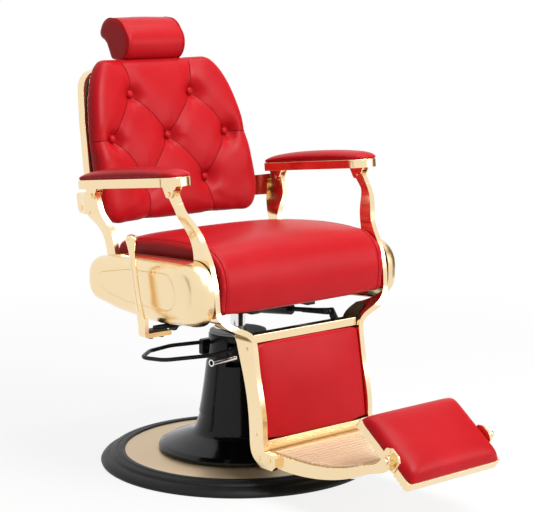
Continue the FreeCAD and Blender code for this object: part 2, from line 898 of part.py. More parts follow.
def rear_casting():
    """The bracket that carries the back: a plate beside the back and a leg to the pivot."""
    leg_front = [
        (177, 690), (168, 668), (161, 645), (154, 618), (152, 596), (148, 570), (134, 530), (112, 484),
        (104, 456),
    ]
    leg_rear = [
        (152, 452), (158, 480), (167, 520), (179, 556), (192, 586), (206, 610), (221, 630), (227, 650),
        (229, 674),
    ]
    leg = smooth_slab("yz", -320, -240, [
        leg_front, [leg_front[-1], leg_rear[0]], leg_rear, [leg_rear[-1], leg_front[0]],
    ])
    leg_strip = band("xz", 40, 320, [
        (-arm_x, 720), (-arm_x, 690), (-arm_x, 658), (-297, 640), (-288, 622), (-277, 604), (-casting_x, 584),
        (-casting_x, 530), (-casting_x, 480), (-casting_x, 430),
    ], casting_thickness)
    leg = leg.common(leg_strip).Solids[0]
    plate = slab("yz", -330, -200, [
        (206, 690, 8), (322, 672, 8), (312, 622, 14), (204, 634, 6),
    ])
    plate_strip = band("xy", 600, 720, [
        (-arm_x, 180), (-arm_x, 205), (-arm_x, 224), (-293, 242), (-280, 258), (-268, 278), (-261, 300),
        (-260, 330),
    ], 11.0)
    plate = plate.common(plate_strip)
    boss = pin_x(rear_pivot_y, rear_pivot_z, -casting_x - casting_thickness / 2,
                 -casting_x + casting_thickness / 2, pivot_boss_radius)
    tab = arm_tab(rear_arm_pin_y, rear_arm_pin_z, (214, 656), (170, 662))
    casting = fuse_all([leg, plate, boss, tab])
    casting = casting.cut(pin_x(rear_pivot_y, rear_pivot_z, -300, -240, pivot_pin_radius + running_clearance))
    return casting.cut(pin_x(rear_arm_pin_y, rear_arm_pin_z, -340, -260, arm_pin_radius + running_clearance))


# Armrests.

def arm_outline(inset, height):
    """The top view of an armrest at a height above its underside."""
    half = arm_half_width - inset
    front = arm_front_y + inset
    rear = arm_rear_y - inset
    corner = max(arm_corner - inset * 0.4, 3.0)
    return rounded_wire("xy", arm_under_front_z + height, [
        (-arm_x - half, front, half - 1), (-arm_x + half, front, half - 1),
        (-arm_x + half, rear, corner), (-arm_x - half, rear, corner),
    ])


def arm_tilt(shape):
    return tilted(shape, arm_front_y, arm_under_front_z, -math.degrees(arm_slope))


def arm_trim():
    trim = Part.Face(arm_outline(0, 0)).extrude(vec(0, 0, trim_height))
    rim = [edge for edge in trim.Edges if edge.BoundBox.ZMin > arm_under_front_z + trim_height - 0.1]
    trim = trim.makeFillet(2.5, rim)
    tray = Part.Face(arm_outline(4, 5)).extrude(vec(0, 0, trim_height))
    return arm_tilt(trim.cut(tray))


def arm_pad():
    base = 5.0
    top = trim_height + pad_height
    pad = loft([
        arm_outline(4.4, base), arm_outline(4.4, trim_height), arm_outline(2.6, trim_height + 6),
        arm_outline(5, trim_height + 14), arm_outline(12, top - 4), arm_outline(23, top),
    ])
    return arm_tilt(pad)


def arm_fork(y, z):
    """Two ears under the trim, one each side of a casting's tongue."""
    gap = casting_thickness / 2 + ear_side_gap
    under = trim_underside(y)
    ears = []
    for low in (-arm_x - gap - ear_thickness, -arm_x + gap):
        ears.append(slab("yz", low, low + ear_thickness, [
            (y - 24, trim_underside(y - 24)), (y - 20, under - 6, 6), (y - 9, z - 9, 8), (y + 9, z - 9, 8),
            (y + 20, under - 10, 6), (y + 24, trim_underside(y + 24)),
        ]))
    fork = ears[0].fuse(ears[1])
    return fork.cut(pin_x(y, z, -arm_x - 20, -arm_x + 20, arm_pin_radius))


def trim_underside(y):
    return arm_under_front_z - (y - arm_front_y) * math.tan(arm_slope)


def arm_brackets():
    front = arm_fork(front_arm_pin_y, front_arm_pin_z)
    rear = arm_fork(rear_arm_pin_y, rear_arm_pin_z)
    return Part.makeCompound([solid for fork in (front, rear) for solid in fork.Solids])


def arm_pins():
    reach = casting_thickness / 2 + ear_side_gap + ear_thickness + 1.5
    pins = []
    for y, z in ((front_arm_pin_y, front_arm_pin_z), (rear_arm_pin_y, rear_arm_pin_z)):
        pin = pin_x(y, z, -arm_x - reach, -arm_x + reach, arm_pin_radius)
        head = pin_x(y, z, -arm_x - reach - 2, -arm_x - reach + 1.5, arm_pin_radius + 2)
        pins.append(pin.fuse(head).removeSplitter())
    return Part.makeCompound(pins)


# Back rest.

def back_rear_y(z):
    """Where the cushion meets the frame, seen from the side."""
    rise = (z - back_bottom) / (back_top - back_bottom)
    return 249 + 68 * rise + 44 * rise * rise


def back_front_y(z):
    """The front of the cushion in its middle."""
    rise = (z - back_bottom) / (back_top - back_bottom)
    return 222 + 76 * rise + 36 * rise * rise


def back_outline(inset):
    """The front view of the back rest."""
    half = back_half - inset
    low = back_bottom + inset
    high = back_top - back_frame_drop - inset
    return [
        (-half + 47, low, 34), (-half + 4, 640, 60), (-half - 1, 730, 300), (-half + 11, 850, 300),
        (-half + 34, high - 24, 62), (-117, high, 200), (117, high, 200), (half - 34, high - 24, 62),
        (half - 11, 850, 300), (half + 1, 730, 300), (half - 4, 640, 60), (half - 47, low, 34),
    ]


def back_layer(inset, start, end):
    """A sheet of the back's outline between two offsets behind the cushion line."""
    levels = [back_bottom - 10 + i * (back_top - back_bottom + 20) / 8 for i in range(9)]
    front = [(back_rear_y(z) + start, z) for z in levels]
    rear = [(back_rear_y(z) + end, z) for z in reversed(levels)]
    layer = smooth_slab("yz", -300, 300, [front, [front[-1], rear[0]], rear, [rear[-1], front[0]]])
    return layer.common(slab("xz", 150, 450, back_outline(inset)))


def back_frame():
    outer = back_layer(0, 0, back_frame_depth)
    return outer.cut(slab("xz", 150, 450, back_outline(back_frame_wall)))


def back_board():
    return back_layer(back_frame_wall, 0, back_board_thickness)


def back_section(z, half, depth):
    """One level of the back cushion: flat behind, hollowed for the sitter in front."""
    rear = back_rear_y(z) - back_cushion_gap
    middle = rear - (rear - back_front_y(z)) * depth
    side = middle - 20 * (half / back_half) ** 2 * depth
    edge = half - 26
    return Part.Wire([
        Part.makeLine(vec(half - 5, rear, z), vec(-half + 5, rear, z)),
        Part.Arc(vec(-half + 5, rear, z), vec(-half - 1, (rear + side) / 2 + 6, z),
                 vec(-edge, side, z)).toShape(),
        Part.Arc(vec(-edge, side, z), vec(0, middle, z), vec(edge, side, z)).toShape(),
        Part.Arc(vec(edge, side, z), vec(half + 1, (rear + side) / 2 + 6, z),
                 vec(half - 5, rear, z)).toShape(),
    ])


def back_cushion():
    stations = [
        (back_bottom + 2, 211, 0.45), (back_bottom + 12, 233, 0.86), (back_bottom + 40, 247, 1.0),
        (back_bottom + 110, 252, 1.06), (back_bottom + 200, 248, 1.06), (back_bottom + 280, 237, 1.04),
        (back_bottom + 340, 222, 1.0), (back_top - 18, 198, 0.86), (back_top - 3, 168, 0.5),
    ]
    cushion = loft([back_section(z, half, depth) for z, half, depth in stations])
    for x, z in button_spots():
        cushion = cushion.cut(tuft(x, z))
    for groove in back_seams():
        cushion = cushion.cut(groove)
    return max(cushion.Solids, key=lambda piece: piece.Volume)


def button_spots():
    return [
        (-button_spacing_x, button_top_z), (button_spacing_x, button_top_z), (-button_side_x, button_mid_z),
        (0.0, button_mid_z), (button_side_x, button_mid_z), (-button_spacing_x, button_low_z),
        (button_spacing_x, button_low_z),
    ]


def back_surface_y(x, z):
    """The cushion's front face before it is tufted."""
    rear = back_rear_y(z)
    middle = rear - (rear - back_front_y(z)) * 1.05
    return middle - 20 * (x / back_half) ** 2


def tuft(x, z):
    """The dimple that a button draws into the cushion."""
    y = back_surface_y(x, z)
    wires = []
    for depth, radius in ((-6, tuft_radius * 1.5), (0, tuft_radius), (tuft_depth * 0.55, tuft_radius * 0.5),
                          (tuft_depth, button_radius + 1)):
        wires.append(Part.Wire(Part.makeCircle(radius, vec(x, y + depth, z - 0.25 * depth),
                                               vec(0, 1, -0.25))))
    return loft(wires)


def seam_runs():
    """Each sewn line of the back, from one end to the other, as (x, z) pairs."""
    top, mid, low = button_top_z, button_mid_z, button_low_z
    near, side = button_spacing_x, button_side_x
    runs = [((-near, low), (-near, back_bottom)), ((near, low), (near, back_bottom))]
    for sign in (-1, 1):
        runs.append(((sign * near, top), (sign * near, back_top)))
        runs.append(((sign * near, top), (0, mid)))
        runs.append(((sign * near, top), (sign * side, mid)))
        runs.append(((sign * side, mid), (sign * back_half, mid - 4)))
        runs.append(((sign * side, mid), (sign * near, low)))
        runs.append(((0, mid), (sign * near, low)))
    return runs


def back_seams():
    grooves = []
    for start, end in seam_runs():
        steps = 4
        tops = []
        for i in range(steps + 1):
            x = start[0] + (end[0] - start[0]) * i / steps
            z = start[1] + (end[1] - start[1]) * i / steps
            tops.append(vec(x, back_surface_y(x, z), z))
        way = (tops[-1] - tops[0]).normalize()
        across = way.cross(vec(0, 1, 0)).normalize() * (seam_width / 2)
        wires = []
        for top in tops:
            left = top - across + vec(0, -8, 0)
            right = top + across + vec(0, -8, 0)
            floor = top + vec(0, seam_depth, 0)
            wires.append(Part.makePolygon([left, right, floor, left]))
        grooves.append(Part.makeLoft(wires, True, True))
    return grooves


def back_buttons():
    buttons = []
    for x, z in button_spots():
        y = back_surface_y(x, z) + tuft_depth
        lean = vec(0, -1, 0.25).normalize()
        ball = Part.makeSphere(button_radius * 1.25)
        ball.translate(vec(x, y, z) - lean * button_radius * 0.75)
        keep = rod(vec(x, y, z) + lean * 0.3, vec(x, y, z) + lean * 20, button_radius * 2)
        buttons.append(ball.common(keep))
    return Part.makeCompound(buttons)


def back_bolts():
    """Two bolts each side hold the castings' plates to the frame of the back."""
    bolts = []
    for y, z in ((276, 664), (290, 638)):
        x = -271.0
        bolts.append(screw(vec(x, y, z), vec(-1, 0, 0), 7, 4, 4, 22))
    return bolts


# Headrest.

lean = math.radians(head_post_lean)
post_way = vec(0, math.sin(lean), math.cos(lean))
post_top = vec(0, head_pivot_y - 17, head_pivot_z - 4)


def post_frame(shape):
    """Turns a shape drawn upright at the origin into the line of the headrest post."""
    copy = shape.copy()
    copy.rotate(vec(0, 0, 0), vec(1, 0, 0), -head_post_lean)
    copy.translate(post_top)
    return copy


def headrest_post():
    half = head_post_width / 2
    thick = head_post_thickness / 2
    bar = post_frame(box(-half, half, -thick, thick, -head_post_length, -20))
    knuckle = pin_x(head_pivot_y, head_pivot_z, -half, half, 10)
    web = slab("yz", -half, half, [
        (post_top.y - 10.5, post_top.z - 29), (post_top.y - 8, post_top.z - 21),
        (post_top.y + 8, post_top.z + 6),
        (head_pivot_y, head_pivot_z + 8), (head_pivot_y + 9, head_pivot_z - 3),
        (post_top.y + 4, post_top.z - 28),
    ])
    post = fuse_all([bar, knuckle, web])
    return post.cut(pin_x(head_pivot_y, head_pivot_z, -40, 40, 4 + running_clearance))


def headrest_guide():
    """The sleeve behind the back board that the post slides in."""
    half = guide_width / 2
    inner = head_post_width / 2 + head_slide_clearance
    thick = head_post_thickness / 2 + head_slide_clearance
    low = -head_post_length + 34
    stand = -thick - guide_wall - 32
    outer = box(-half, half, stand, thick + guide_wall, low, low + guide_length)
    slot = box(-inner, inner, -thick, thick, low - 1, low + guide_length + 1)
    channel = box(-half + 8, half - 8, stand - 1, -thick - guide_wall, low - 1, low + guide_length + 1)
    guide = post_frame(outer.cut(slot).cut(channel))
    return guide.cut(back_layer(-40, -60, back_board_thickness))


def head_wire(x, share):
    """The side view of the headrest: a comma with its tail curling over the back."""
    y_c = 386.0
    z_c = 1052.0

    def spot(y, z):
        return vec(x, y_c + (y - y_c) * share, z_c + (z - z_c) * share)

    def arc(one, two, three):
        return Part.Arc(spot(*one), spot(*two), spot(*three)).toShape()

    return Part.Wire([
        arc((386, 1001), (352, 1003), (332, 1018)),
        arc((332, 1018), (324, 1048), (340, 1078)),
        arc((340, 1078), (362, 1100), (394, 1107)),
        arc((394, 1107), (432, 1101), (451, 1076)),
        arc((451, 1076), (452, 1062), (444, 1055)),
        Part.makeLine(spot(444, 1055), spot(430, 1050)),
        Part.makeLine(spot(430, 1050), spot(403, 1003)),
        Part.makeLine(spot(403, 1003), spot(386, 1001)),
    ])


def headrest_cushion():
    half = head_half
    stations = [
        (-half, 0.90), (-half + 3, 0.965), (-half + 12, 0.99), (-40, 1.0), (40, 1.0), (half - 12, 0.99),
        (half - 3, 0.965), (half, 0.90),
    ]
    return loft([head_wire(x, share) for x, share in stations])


def headrest_plate():
    """The plate behind the headrest, with two ears that hold the pivot pin."""
    plate = slab("yz", -80, 80, [
        (431.2, 1050.6), (403.9, 1003.2), (406.9, 1001.5), (434.2, 1048.9),
    ])
    pieces = [plate]
    for low in (-22, 16.5):
        pieces.append(slab("yz", low, low + 5.5, [
            (410, 1008), (428, 1008, 6), (head_pivot_y + 9, head_pivot_z - 6, 7),
            (head_pivot_y + 8, head_pivot_z + 9, 7),
            (430, 1043),
        ]))
    normal = vec(0, 0.866, -0.5)
    for x in (-72, 72):
        for y, z in ((431.5, 1044), (411.5, 1009)):
            pieces.append(rod(vec(x, y, z) - normal * 3, vec(x, y, z) + normal * 2.5, 3.4))
    pieces.append(pin_x(head_pivot_y, head_pivot_z, -25, 25, 4))
    return fuse_all(pieces).cut(headrest_cushion())


# Leg rest.

def calf_face_y(z):
    """The line of the leg rest's front face, seen from the side."""
    share = (calf_top_z - z) / (calf_top_z - calf_bottom_z)
    return calf_top_y + (calf_bottom_y - calf_top_y) * share




def calf_top_bar():
    low = calf_top_z - calf_bar_height
    y_top = calf_face_y(calf_top_z)
    y_low = calf_face_y(low)
    return slab("yz", -rail_inner, rail_inner, [
        (y_top, calf_top_z, 2), (y_low, low, 1), (y_low + 26, low), (y_top + 26, calf_top_z, 2),
    ])


def calf_cushion():
    low = calf_bottom_z
    high = calf_top_z - calf_bar_height
    half = rail_inner - 0.5
    crown = 7.0

    def section(x, share, inset):
        y_low = calf_face_y(low)
        y_high = calf_face_y(high)
        y_mid = (y_low + y_high) / 2 - crown * share - 0.5
        back = calf_pad_thickness
        return Part.Wire([
            Part.Arc(vec(x, y_low + inset, low + inset), vec(x, y_mid + inset, (low + high) / 2),
                     vec(x, y_high + inset, high - inset)).toShape(),
            Part.makeLine(vec(x, y_high + inset, high - inset), vec(x, y_high + back, high - inset)),
            Part.makeLine(vec(x, y_high + back, high - inset), vec(x, y_low + back, low + inset)),
            Part.makeLine(vec(x, y_low + back, low + inset), vec(x, y_low + inset, low + inset)),
        ])

    cushion = loft([section(x, share, 0.6 + 6 * (1 - share)) for x, share in across(half)])
    return cushion.cut(calf_board())


def calf_board():
    low = calf_bottom_z - 20
    high = calf_top_z - calf_bar_height
    front_low = calf_face_y(low) + calf_pad_thickness
    front_high = calf_face_y(high) + calf_pad_thickness
    thick = calf_board_thickness
    return slab("yz", -rail_inner, rail_inner, [
        (front_low, low), (front_high, high), (front_high + thick, high), (front_low + thick, low),
    ])


def calf_bottom_bar():
    high = calf_bottom_z
    low = high - foot_ridge_height
    y = calf_face_y(high)
    return slab("yz", -rail_inner, rail_inner, [
        (y - 2, high, 2), (y - 4, high - 8, 2), (y - 1, high - 9), (y - 4, high - 10, 2),
        (y - 6, high - 18, 2),
        (y - 2, low), (calf_face_y(low) + calf_pad_thickness, low), (y + calf_pad_thickness, high),
    ])


tread_line = [
    (-346.0, 112.0), (-401.0, 112.0), (-449.0, 113.5), (-495.0, 117.5), (-541.0, 125.5), (-585.0, 137.0),
    (-629.0, 152.0), (-677.0, 173.0),
]


def tread_z(y):
    """The height of the tread's edge line at a distance in front of the axis."""
    if y > tread_line[0][0]:
        return tread_line[0][1]
    for near, far in zip(tread_line, tread_line[1:]):
        if y >= far[0]:
            share = (y - near[0]) / (far[0] - near[0])
            return near[1] + share * (far[1] - near[1])
    return tread_line[-1][1]


def footplate():
    """The curved tread between the side walls, with ribs across it."""
    corners = [(tread_start_y, tread_z(tread_start_y))]
    y = tread_start_y - 40
    rise = tread_rib_height
    slope = 1.5
    while y - tread_rib_width > tread_end_y:
        far = y - tread_rib_width
        corners.append((y, tread_z(y)))
        corners.append((y - slope, tread_z(y) + rise))
        corners.append((far + slope, tread_z(far) + rise))
        corners.append((far, tread_z(far)))
        y -= tread_rib_pitch
    corners.append((tread_end_y, tread_z(tread_end_y)))
    corners.append((tread_end_y + 4, tread_z(tread_end_y) - tread_thickness))
    for near, height in reversed(tread_line[1:6]):
        corners.append((near, height - tread_thickness))
    corners.append((tread_start_y, tread_z(tread_start_y) - tread_thickness))
    half = rail_inner - wall_thickness
    return slab("yz", -half, half, corners)


def foot_walls():
    """The side walls: bolted inside the calf rails, they carry the tread and the foot pad."""
    upper = [(-300, 111)] + tread_line + [(-690, 187), (-703, 187)]
    lower = [(-708, 172), (-704, 160), (-662, 140), (-586, 112), (-495, 88), (-420, 79), (-346, 78),
             (-300, 82)]
    outer = -rail_inner
    wall = smooth_slab("yz", outer, outer + wall_thickness, [
        upper, [upper[-1], lower[0]], lower, [lower[-1], upper[0]],
    ])
    wall = wall.cut(pin_x(pad_pivot_y, pad_pivot_z, -200, -140, pad_pin_radius + running_clearance))
    return wall


def glides():
    """Domed feet under the tread."""
    z_top = tread_z(glide_y) - tread_thickness
    foot = Part.Face(rounded_wire("xz", 0, [
        (0, z_top), (12, z_top), (12, z_top - 10), (glide_radius, z_top - 12, 3),
        (glide_radius, z_top - 20, 5), (glide_radius - 12, z_top - glide_height, 10),
        (0, z_top - glide_height),
    ])).revolve(vec(0, 0, 0), vec(0, 0, 1), 360)
    feet = []
    for side in (-1, 1):
        copy = foot.copy()
        copy.translate(vec(side * glide_x, glide_y, 0))
        feet.append(copy.cut(footplate()))
    return Part.makeCompound(feet)


def rail_bolts():
    """Bolts and small screws on the outside of the castings."""
    bolts = []
    outer = -rail_x - casting_thickness / 2
    for y, z, radius in ((-288, 95, 6), (-325, 97, 6), (-245, 350, 4), (-278, 150, 4)):
        bolts.append(screw(vec(outer, y, z), vec(-1, 0, 0), radius, 2.5, radius * 0.55, 8))
    return bolts


# Foot pad.

pad_angle = math.radians(pad_slope)


def pad_place(shape):
    """Turns a flat drawing about the pivot into the pad's rest slope."""
    return tilted(shape, pad_pivot_y, pad_pivot_z, pad_slope)


pad_rear_y = pad_pivot_y + pad_long_side
pad_front_y = pad_pivot_y - pad_short_side


pad_top = pad_pivot_z - 1.0
pad_low = pad_top - pad_frame_height


def foot_pad_frame():
    """The metal tray under the pad, ribbed beneath so that it serves as a tread when turned over."""
    frame = slab("xy", pad_low, pad_top, [
        (-pad_half, pad_front_y, 8), (pad_half, pad_front_y, 8), (pad_half, pad_rear_y, 8),
        (-pad_half, pad_rear_y, 8),
    ])
    recess = slab("xy", pad_top - 6, pad_top + 1, [
        (-pad_half + 4, pad_front_y + 4, 5), (pad_half - 4, pad_front_y + 4, 5),
        (pad_half - 4, pad_rear_y - 4, 5),
        (-pad_half + 4, pad_rear_y - 4, 5),
    ])
    frame = frame.cut(recess)
    pitch = 12.0
    count = int((pad_long_side + pad_short_side - 16) / pitch)
    for i in range(count):
        y = pad_front_y + 14 + i * pitch
        groove = slab("yz", -pad_half - 1, pad_half + 1, [
            (y - 3.5, pad_low - 0.1), (y + 3.5, pad_low - 0.1), (y, pad_low + 3.4),
        ])
        frame = frame.cut(groove)
    return pad_place(frame).cut(foot_pad_trunnion_room())


def foot_pad_trunnion_room():
    """The recess in each side of the pad where a trunnion plate sits."""
    rooms = []
    for side in (-1, 1):
        x_low, x_high = sorted((side * trunnion_x, side * (pad_half + 1)))
        rooms.append(box(x_low, x_high, pad_pivot_y - 26, pad_pivot_y + 26, pad_low - 1, pad_top + 60))
    return pad_place(Part.makeCompound(rooms))


trunnion_x = pad_half - 3.0


def foot_pad_cushion():
    base = pad_top - 6

    def outline(inset, height):
        return rounded_wire("xy", base + height, [
            (-pad_half + 4 + inset, pad_front_y + 4 + inset, 12),
            (pad_half - 4 - inset, pad_front_y + 4 + inset, 12),
            (pad_half - 4 - inset, pad_rear_y - 4 - inset, 12),
            (-pad_half + 4 + inset, pad_rear_y - 4 - inset, 12),
        ])

    top = pad_cushion_height + 6
    cushion = loft([outline(0.2, 0), outline(0, 6), outline(0.5, 13), outline(5, top - 9),
                    outline(16, top - 3),
                    outline(38, top)])
    return pad_place(cushion).cut(foot_pad_trunnion_room())


def foot_pad_trunnions():
    """A plate each side of the pad with its pivot pin; the left one ends in a ball."""
    outer = trunnion_x + pad_bracket_thickness
    wall_face = rail_inner - wall_thickness
    trunnions = []
    for side in (-1, 1):
        plate = slab("yz", trunnion_x, outer, [
            (pad_pivot_y - 25, pad_low + 4, 4), (pad_pivot_y + 25, pad_low + 4, 4),
            (pad_pivot_y + 25, pad_pivot_z + 14, 8), (pad_pivot_y + 12, pad_pivot_z + 24, 8),
            (pad_pivot_y - 12, pad_pivot_z + 24, 8), (pad_pivot_y - 25, pad_pivot_z + 14, 8),
        ])
        for shift in (-14, 14):
            plate = plate.fuse(pin_x(pad_pivot_y + shift, pad_pivot_z + 14, outer, outer + 2.5, 4))
        plate = pad_place(plate)
        boss = pin_x(pad_pivot_y, pad_pivot_z, outer, wall_face - 0.4, 12)
        pin = pin_x(pad_pivot_y, pad_pivot_z, outer, rail_inner + 4, pad_pin_radius)
        if side < 0:
            end = pin_x(pad_pivot_y, pad_pivot_z, rail_inner + 0.4, rail_inner + 5, pad_pin_radius + 3)
        else:
            end = Part.makeSphere(ball_radius, vec(rail_inner + ball_radius + 1, pad_pivot_y, pad_pivot_z))
        whole = fuse_all([plate, boss, pin, end])
        trunnions.append(mirrored(whole) if side < 0 else whole)
    return Part.makeCompound(trunnions)


# Recline lock: a cylinder under the seat with its rod towards the leg rest.

lock_way = vec(0, lock_rod_end_y - lock_base_y, lock_rod_end_z - lock_base_z)
lock_length = lock_way.Length
lock_way.normalize()
lock_base = vec(lock_x, lock_base_y, lock_base_z)


def lock_point(distance):
    return lock_base + lock_way * distance


def lock_cylinder():
    body = rod(lock_point(lock_neck), lock_point(lock_neck + lock_cylinder_length), lock_cylinder_radius)
    eye = pin_x(lock_base_y, lock_base_z, lock_x - 8.5, lock_x + 8.5, lock_eye_radius)
    neck = rod(lock_point(4), lock_point(lock_neck + 1), 7)
    bore = rod(lock_point(lock_neck + 8), lock_point(lock_length), lock_rod_radius + running_clearance)
    cylinder = fuse_all([body, eye, neck])
    return cylinder.cut(bore).cut(pin_x(lock_base_y, lock_base_z, lock_x - 20, lock_x + 20,
                                        lock_pin_radius + running_clearance))


def lock_rod():
    """The rod, with the flat eye and bolt at its end."""
    shaft = rod(lock_point(lock_neck + 10), lock_point(lock_length - 8), lock_rod_radius)
    flat = slab("yz", lock_x - 4, lock_x + 4, [
        (lock_rod_end_y - 10, lock_rod_end_z + 9, 8), (lock_rod_end_y - 10, lock_rod_end_z - 8, 8),
        (lock_rod_end_y + 92, lock_rod_end_z - 17, 2), (lock_rod_end_y + 92, lock_rod_end_z - 7, 2),
    ])
    bolt = pin_x(lock_rod_end_y, lock_rod_end_z, lock_x - 8, lock_x + 5, 7)
    return fuse_all([shaft, flat, bolt])


def lock_link():
    """The short bracket on the back of the leg rest that meets the rod's eye."""
    x_low = lock_x + 5.4
    back = calf_face_y(calf_top_z - calf_bar_height / 2) + 26
    return slab("yz", x_low, x_low + 5, [
        (lock_rod_end_y - 10, lock_rod_end_z + 9, 8), (lock_rod_end_y + 10, lock_rod_end_z + 6, 8),
        (lock_rod_end_y - 8, lock_rod_end_z - 28, 6), (back, calf_top_z - calf_bar_height + 2),
        (back, calf_top_z - 3),
    ]).cut(calf_top_bar())


# Recline handle.

def recline_handle():
    """The long lever beside the cover, its foot turned in under it, its knob at the top."""
    inner = -handle_plane_x
    stations = [
        (handle_shaft_y - 10, handle_shaft_z - 12, 26, 11), (handle_shaft_y - 2, handle_shaft_z + 26, 24, 11),
        (handle_top_y - 18, handle_top_z - 120, 20, 10), (handle_top_y - 6, handle_top_z - 50, 15, 10),
        (handle_top_y - 2, handle_top_z - 24, 13, 11), (handle_top_y, handle_top_z - 4, 17, 13),
    ]
    wires = []
    for y, z, width, depth in stations:
        wires.append(rounded_wire("xy", z, [
            (inner - depth, y - width / 2, depth * 0.4), (inner, y - width / 2, depth * 0.4),
            (inner, y + width / 2, depth * 0.4), (inner - depth, y + width / 2, depth * 0.4),
        ]))
    grip = loft(wires)
    knob = Part.makeSphere(knob_radius, vec(inner - 6, handle_top_y, handle_top_z))
    foot = slab("xz", handle_shaft_y - 23, handle_shaft_y + 3, [
        (inner - 11, handle_shaft_z - handle_foot, 10), (-278, handle_shaft_z - handle_foot, 3),
        (-278, handle_shaft_z - handle_shaft_radius), (inner, handle_shaft_z - handle_shaft_radius, 3),
        (inner - 1, handle_shaft_z + 30), (inner - 11, handle_shaft_z + 30),
    ])
    return fuse_all([grip, knob, foot]).cut(recline_bolts())


def recline_shaft():
    """The round shaft, flattened at its outer end to sit on the handle's foot."""
    shaft = pin_x(handle_shaft_y, handle_shaft_z, -312, -150, handle_shaft_radius)
    tongue = box(-334, -282, handle_shaft_y - 12, handle_shaft_y + 8, handle_shaft_z - handle_shaft_radius,
                 handle_shaft_z - 1)
    return fuse_all([shaft, tongue] + recline_bolts().Solids)


def recline_bolts():
    down = vec(0, 0, -1)
    bolts = []
    for x in (-326, -294):
        z = handle_shaft_z - handle_foot
        bolts.append(screw(vec(x, handle_shaft_y - 4, z), down, 5.5, 6, 3, 12))
    return Part.makeCompound(bolts)


def write(name, shape):
    shape.exportStep("parts/" + name + ".step")
    print(name, len(shape.Solids), round(shape.Volume / 1000.0, 1), "cm3", shape.isValid())


def pierced(shape, tools):
    """A piece with the holes that its screws pass through."""
    for tool in tools:
        shape = shape.cut(tool)
    return shape


def main():
    os.makedirs("parts", exist_ok=True)
    write("rubber_ring", rubber_ring())
    write("base_plate", plate_with_bolt_holes())
    write("base_hub", base_hub())
    write("hub_bolts", hub_bolts())
    write("swivel_bearing", swivel_bearing())

    write("pump_cylinder", pump_with_lugs())
    write("dome_cover", dome_cover())
    write("tower_cover", tower_cover())
    write("tower_side_panel", tower_side_panel())
    write("tower_cap", tower_cap())
    write("pump_lever", pump_lever())
    write("lever_yoke", lever_yoke())
    write("lever_stub", lever_stub())

    write("piston", piston())
    write("seat_mount", seat_mount())
    write("seat_frame", seat_frame())
    write("seat_board", seat_board())
    write("seat_cushion", seat_cushion())
    write("side_plates", both_sides(side_plate()))
    write("pivot_pins", pivot_pins())
    cover = side_cover()
    write("side_cover_right", cover)
    write("side_cover_left", mirrored(cover))

    rails = rail_bolts()
    front = pierced(front_casting(), rails)
    write("front_casting_right", front)
    write("front_casting_left", mirrored(front))
    write("calf_top_bar", calf_top_bar())
    write("calf_cushion", calf_cushion())
    write("calf_board", calf_board())
    write("calf_bottom_bar", calf_bottom_bar())
    write("footplate", footplate())
    write("foot_walls", both_sides(pierced(foot_walls(), rails)))
    write("glides", glides())
    write("rail_bolts", Part.makeCompound(rails + [mirrored(bolt) for bolt in rails]))
    write("lock_link", lock_link())

    write("foot_pad_frame", foot_pad_frame())
    write("foot_pad_cushion", foot_pad_cushion())
    write("foot_pad_trunnions", foot_pad_trunnions())

    bolts = back_bolts()
    rear = pierced(rear_casting(), bolts)
    write("rear_casting_right", rear)
    write("rear_casting_left", mirrored(rear))
    write("back_frame", pierced(back_frame(), bolts + [mirrored(bolt) for bolt in bolts]))
    write("back_board", pierced(back_board(), bolts + [mirrored(bolt) for bolt in bolts]))
    write("back_cushion", back_cushion())
    write("back_buttons", back_buttons())
    write("back_bolts", Part.makeCompound(bolts + [mirrored(bolt) for bolt in bolts]))
    write("headrest_guide", headrest_guide())
    write("headrest_post", headrest_post())
    write("headrest_plate", headrest_plate())
    write("headrest_cushion", headrest_cushion())

    trim = arm_trim()
    pad = arm_pad()
    forks = arm_brackets()
    pins = arm_pins()
    for name, shape in (("arm_trim", trim), ("arm_pad", pad), ("arm_fork", forks), ("arm_pins", pins)):
        write(name + "_right", shape)
        write(name + "_left", mirrored(shape))
    write("lock_cylinder", lock_cylinder())
    write("lock_rod", lock_rod())
    write("recline_handle", recline_handle())
    write("recline_shaft", recline_shaft())


main()
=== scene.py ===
"""Looks of a reclining hydraulic barber chair, dressed over its CAD frame."""

import logging
import math
from dataclasses import dataclass
from enum import Enum
from typing import Callable, Optional, Sequence

import bmesh
import bpy
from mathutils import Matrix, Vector
from mathutils.bvhtree import BVHTree


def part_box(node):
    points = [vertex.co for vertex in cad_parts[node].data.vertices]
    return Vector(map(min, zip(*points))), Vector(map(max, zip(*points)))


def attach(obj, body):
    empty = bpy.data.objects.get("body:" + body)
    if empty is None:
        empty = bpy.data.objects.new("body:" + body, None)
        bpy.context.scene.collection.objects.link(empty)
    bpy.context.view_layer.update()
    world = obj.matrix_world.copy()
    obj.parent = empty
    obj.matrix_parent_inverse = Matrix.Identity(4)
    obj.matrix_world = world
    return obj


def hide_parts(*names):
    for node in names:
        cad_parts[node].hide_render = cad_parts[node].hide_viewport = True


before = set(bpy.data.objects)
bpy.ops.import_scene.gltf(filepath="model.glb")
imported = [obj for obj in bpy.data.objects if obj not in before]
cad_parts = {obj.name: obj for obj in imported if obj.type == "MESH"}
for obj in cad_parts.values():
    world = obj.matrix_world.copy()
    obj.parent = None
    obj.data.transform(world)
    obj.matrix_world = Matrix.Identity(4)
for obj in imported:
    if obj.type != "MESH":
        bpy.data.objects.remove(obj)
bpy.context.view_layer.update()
log = logging.getLogger("barber_chair")

Flat = tuple[float, float]
Point = tuple[float, float, float]
Colour = tuple[float, float, float]
WHITE = (1.0, 1.0, 1.0, 1.0)


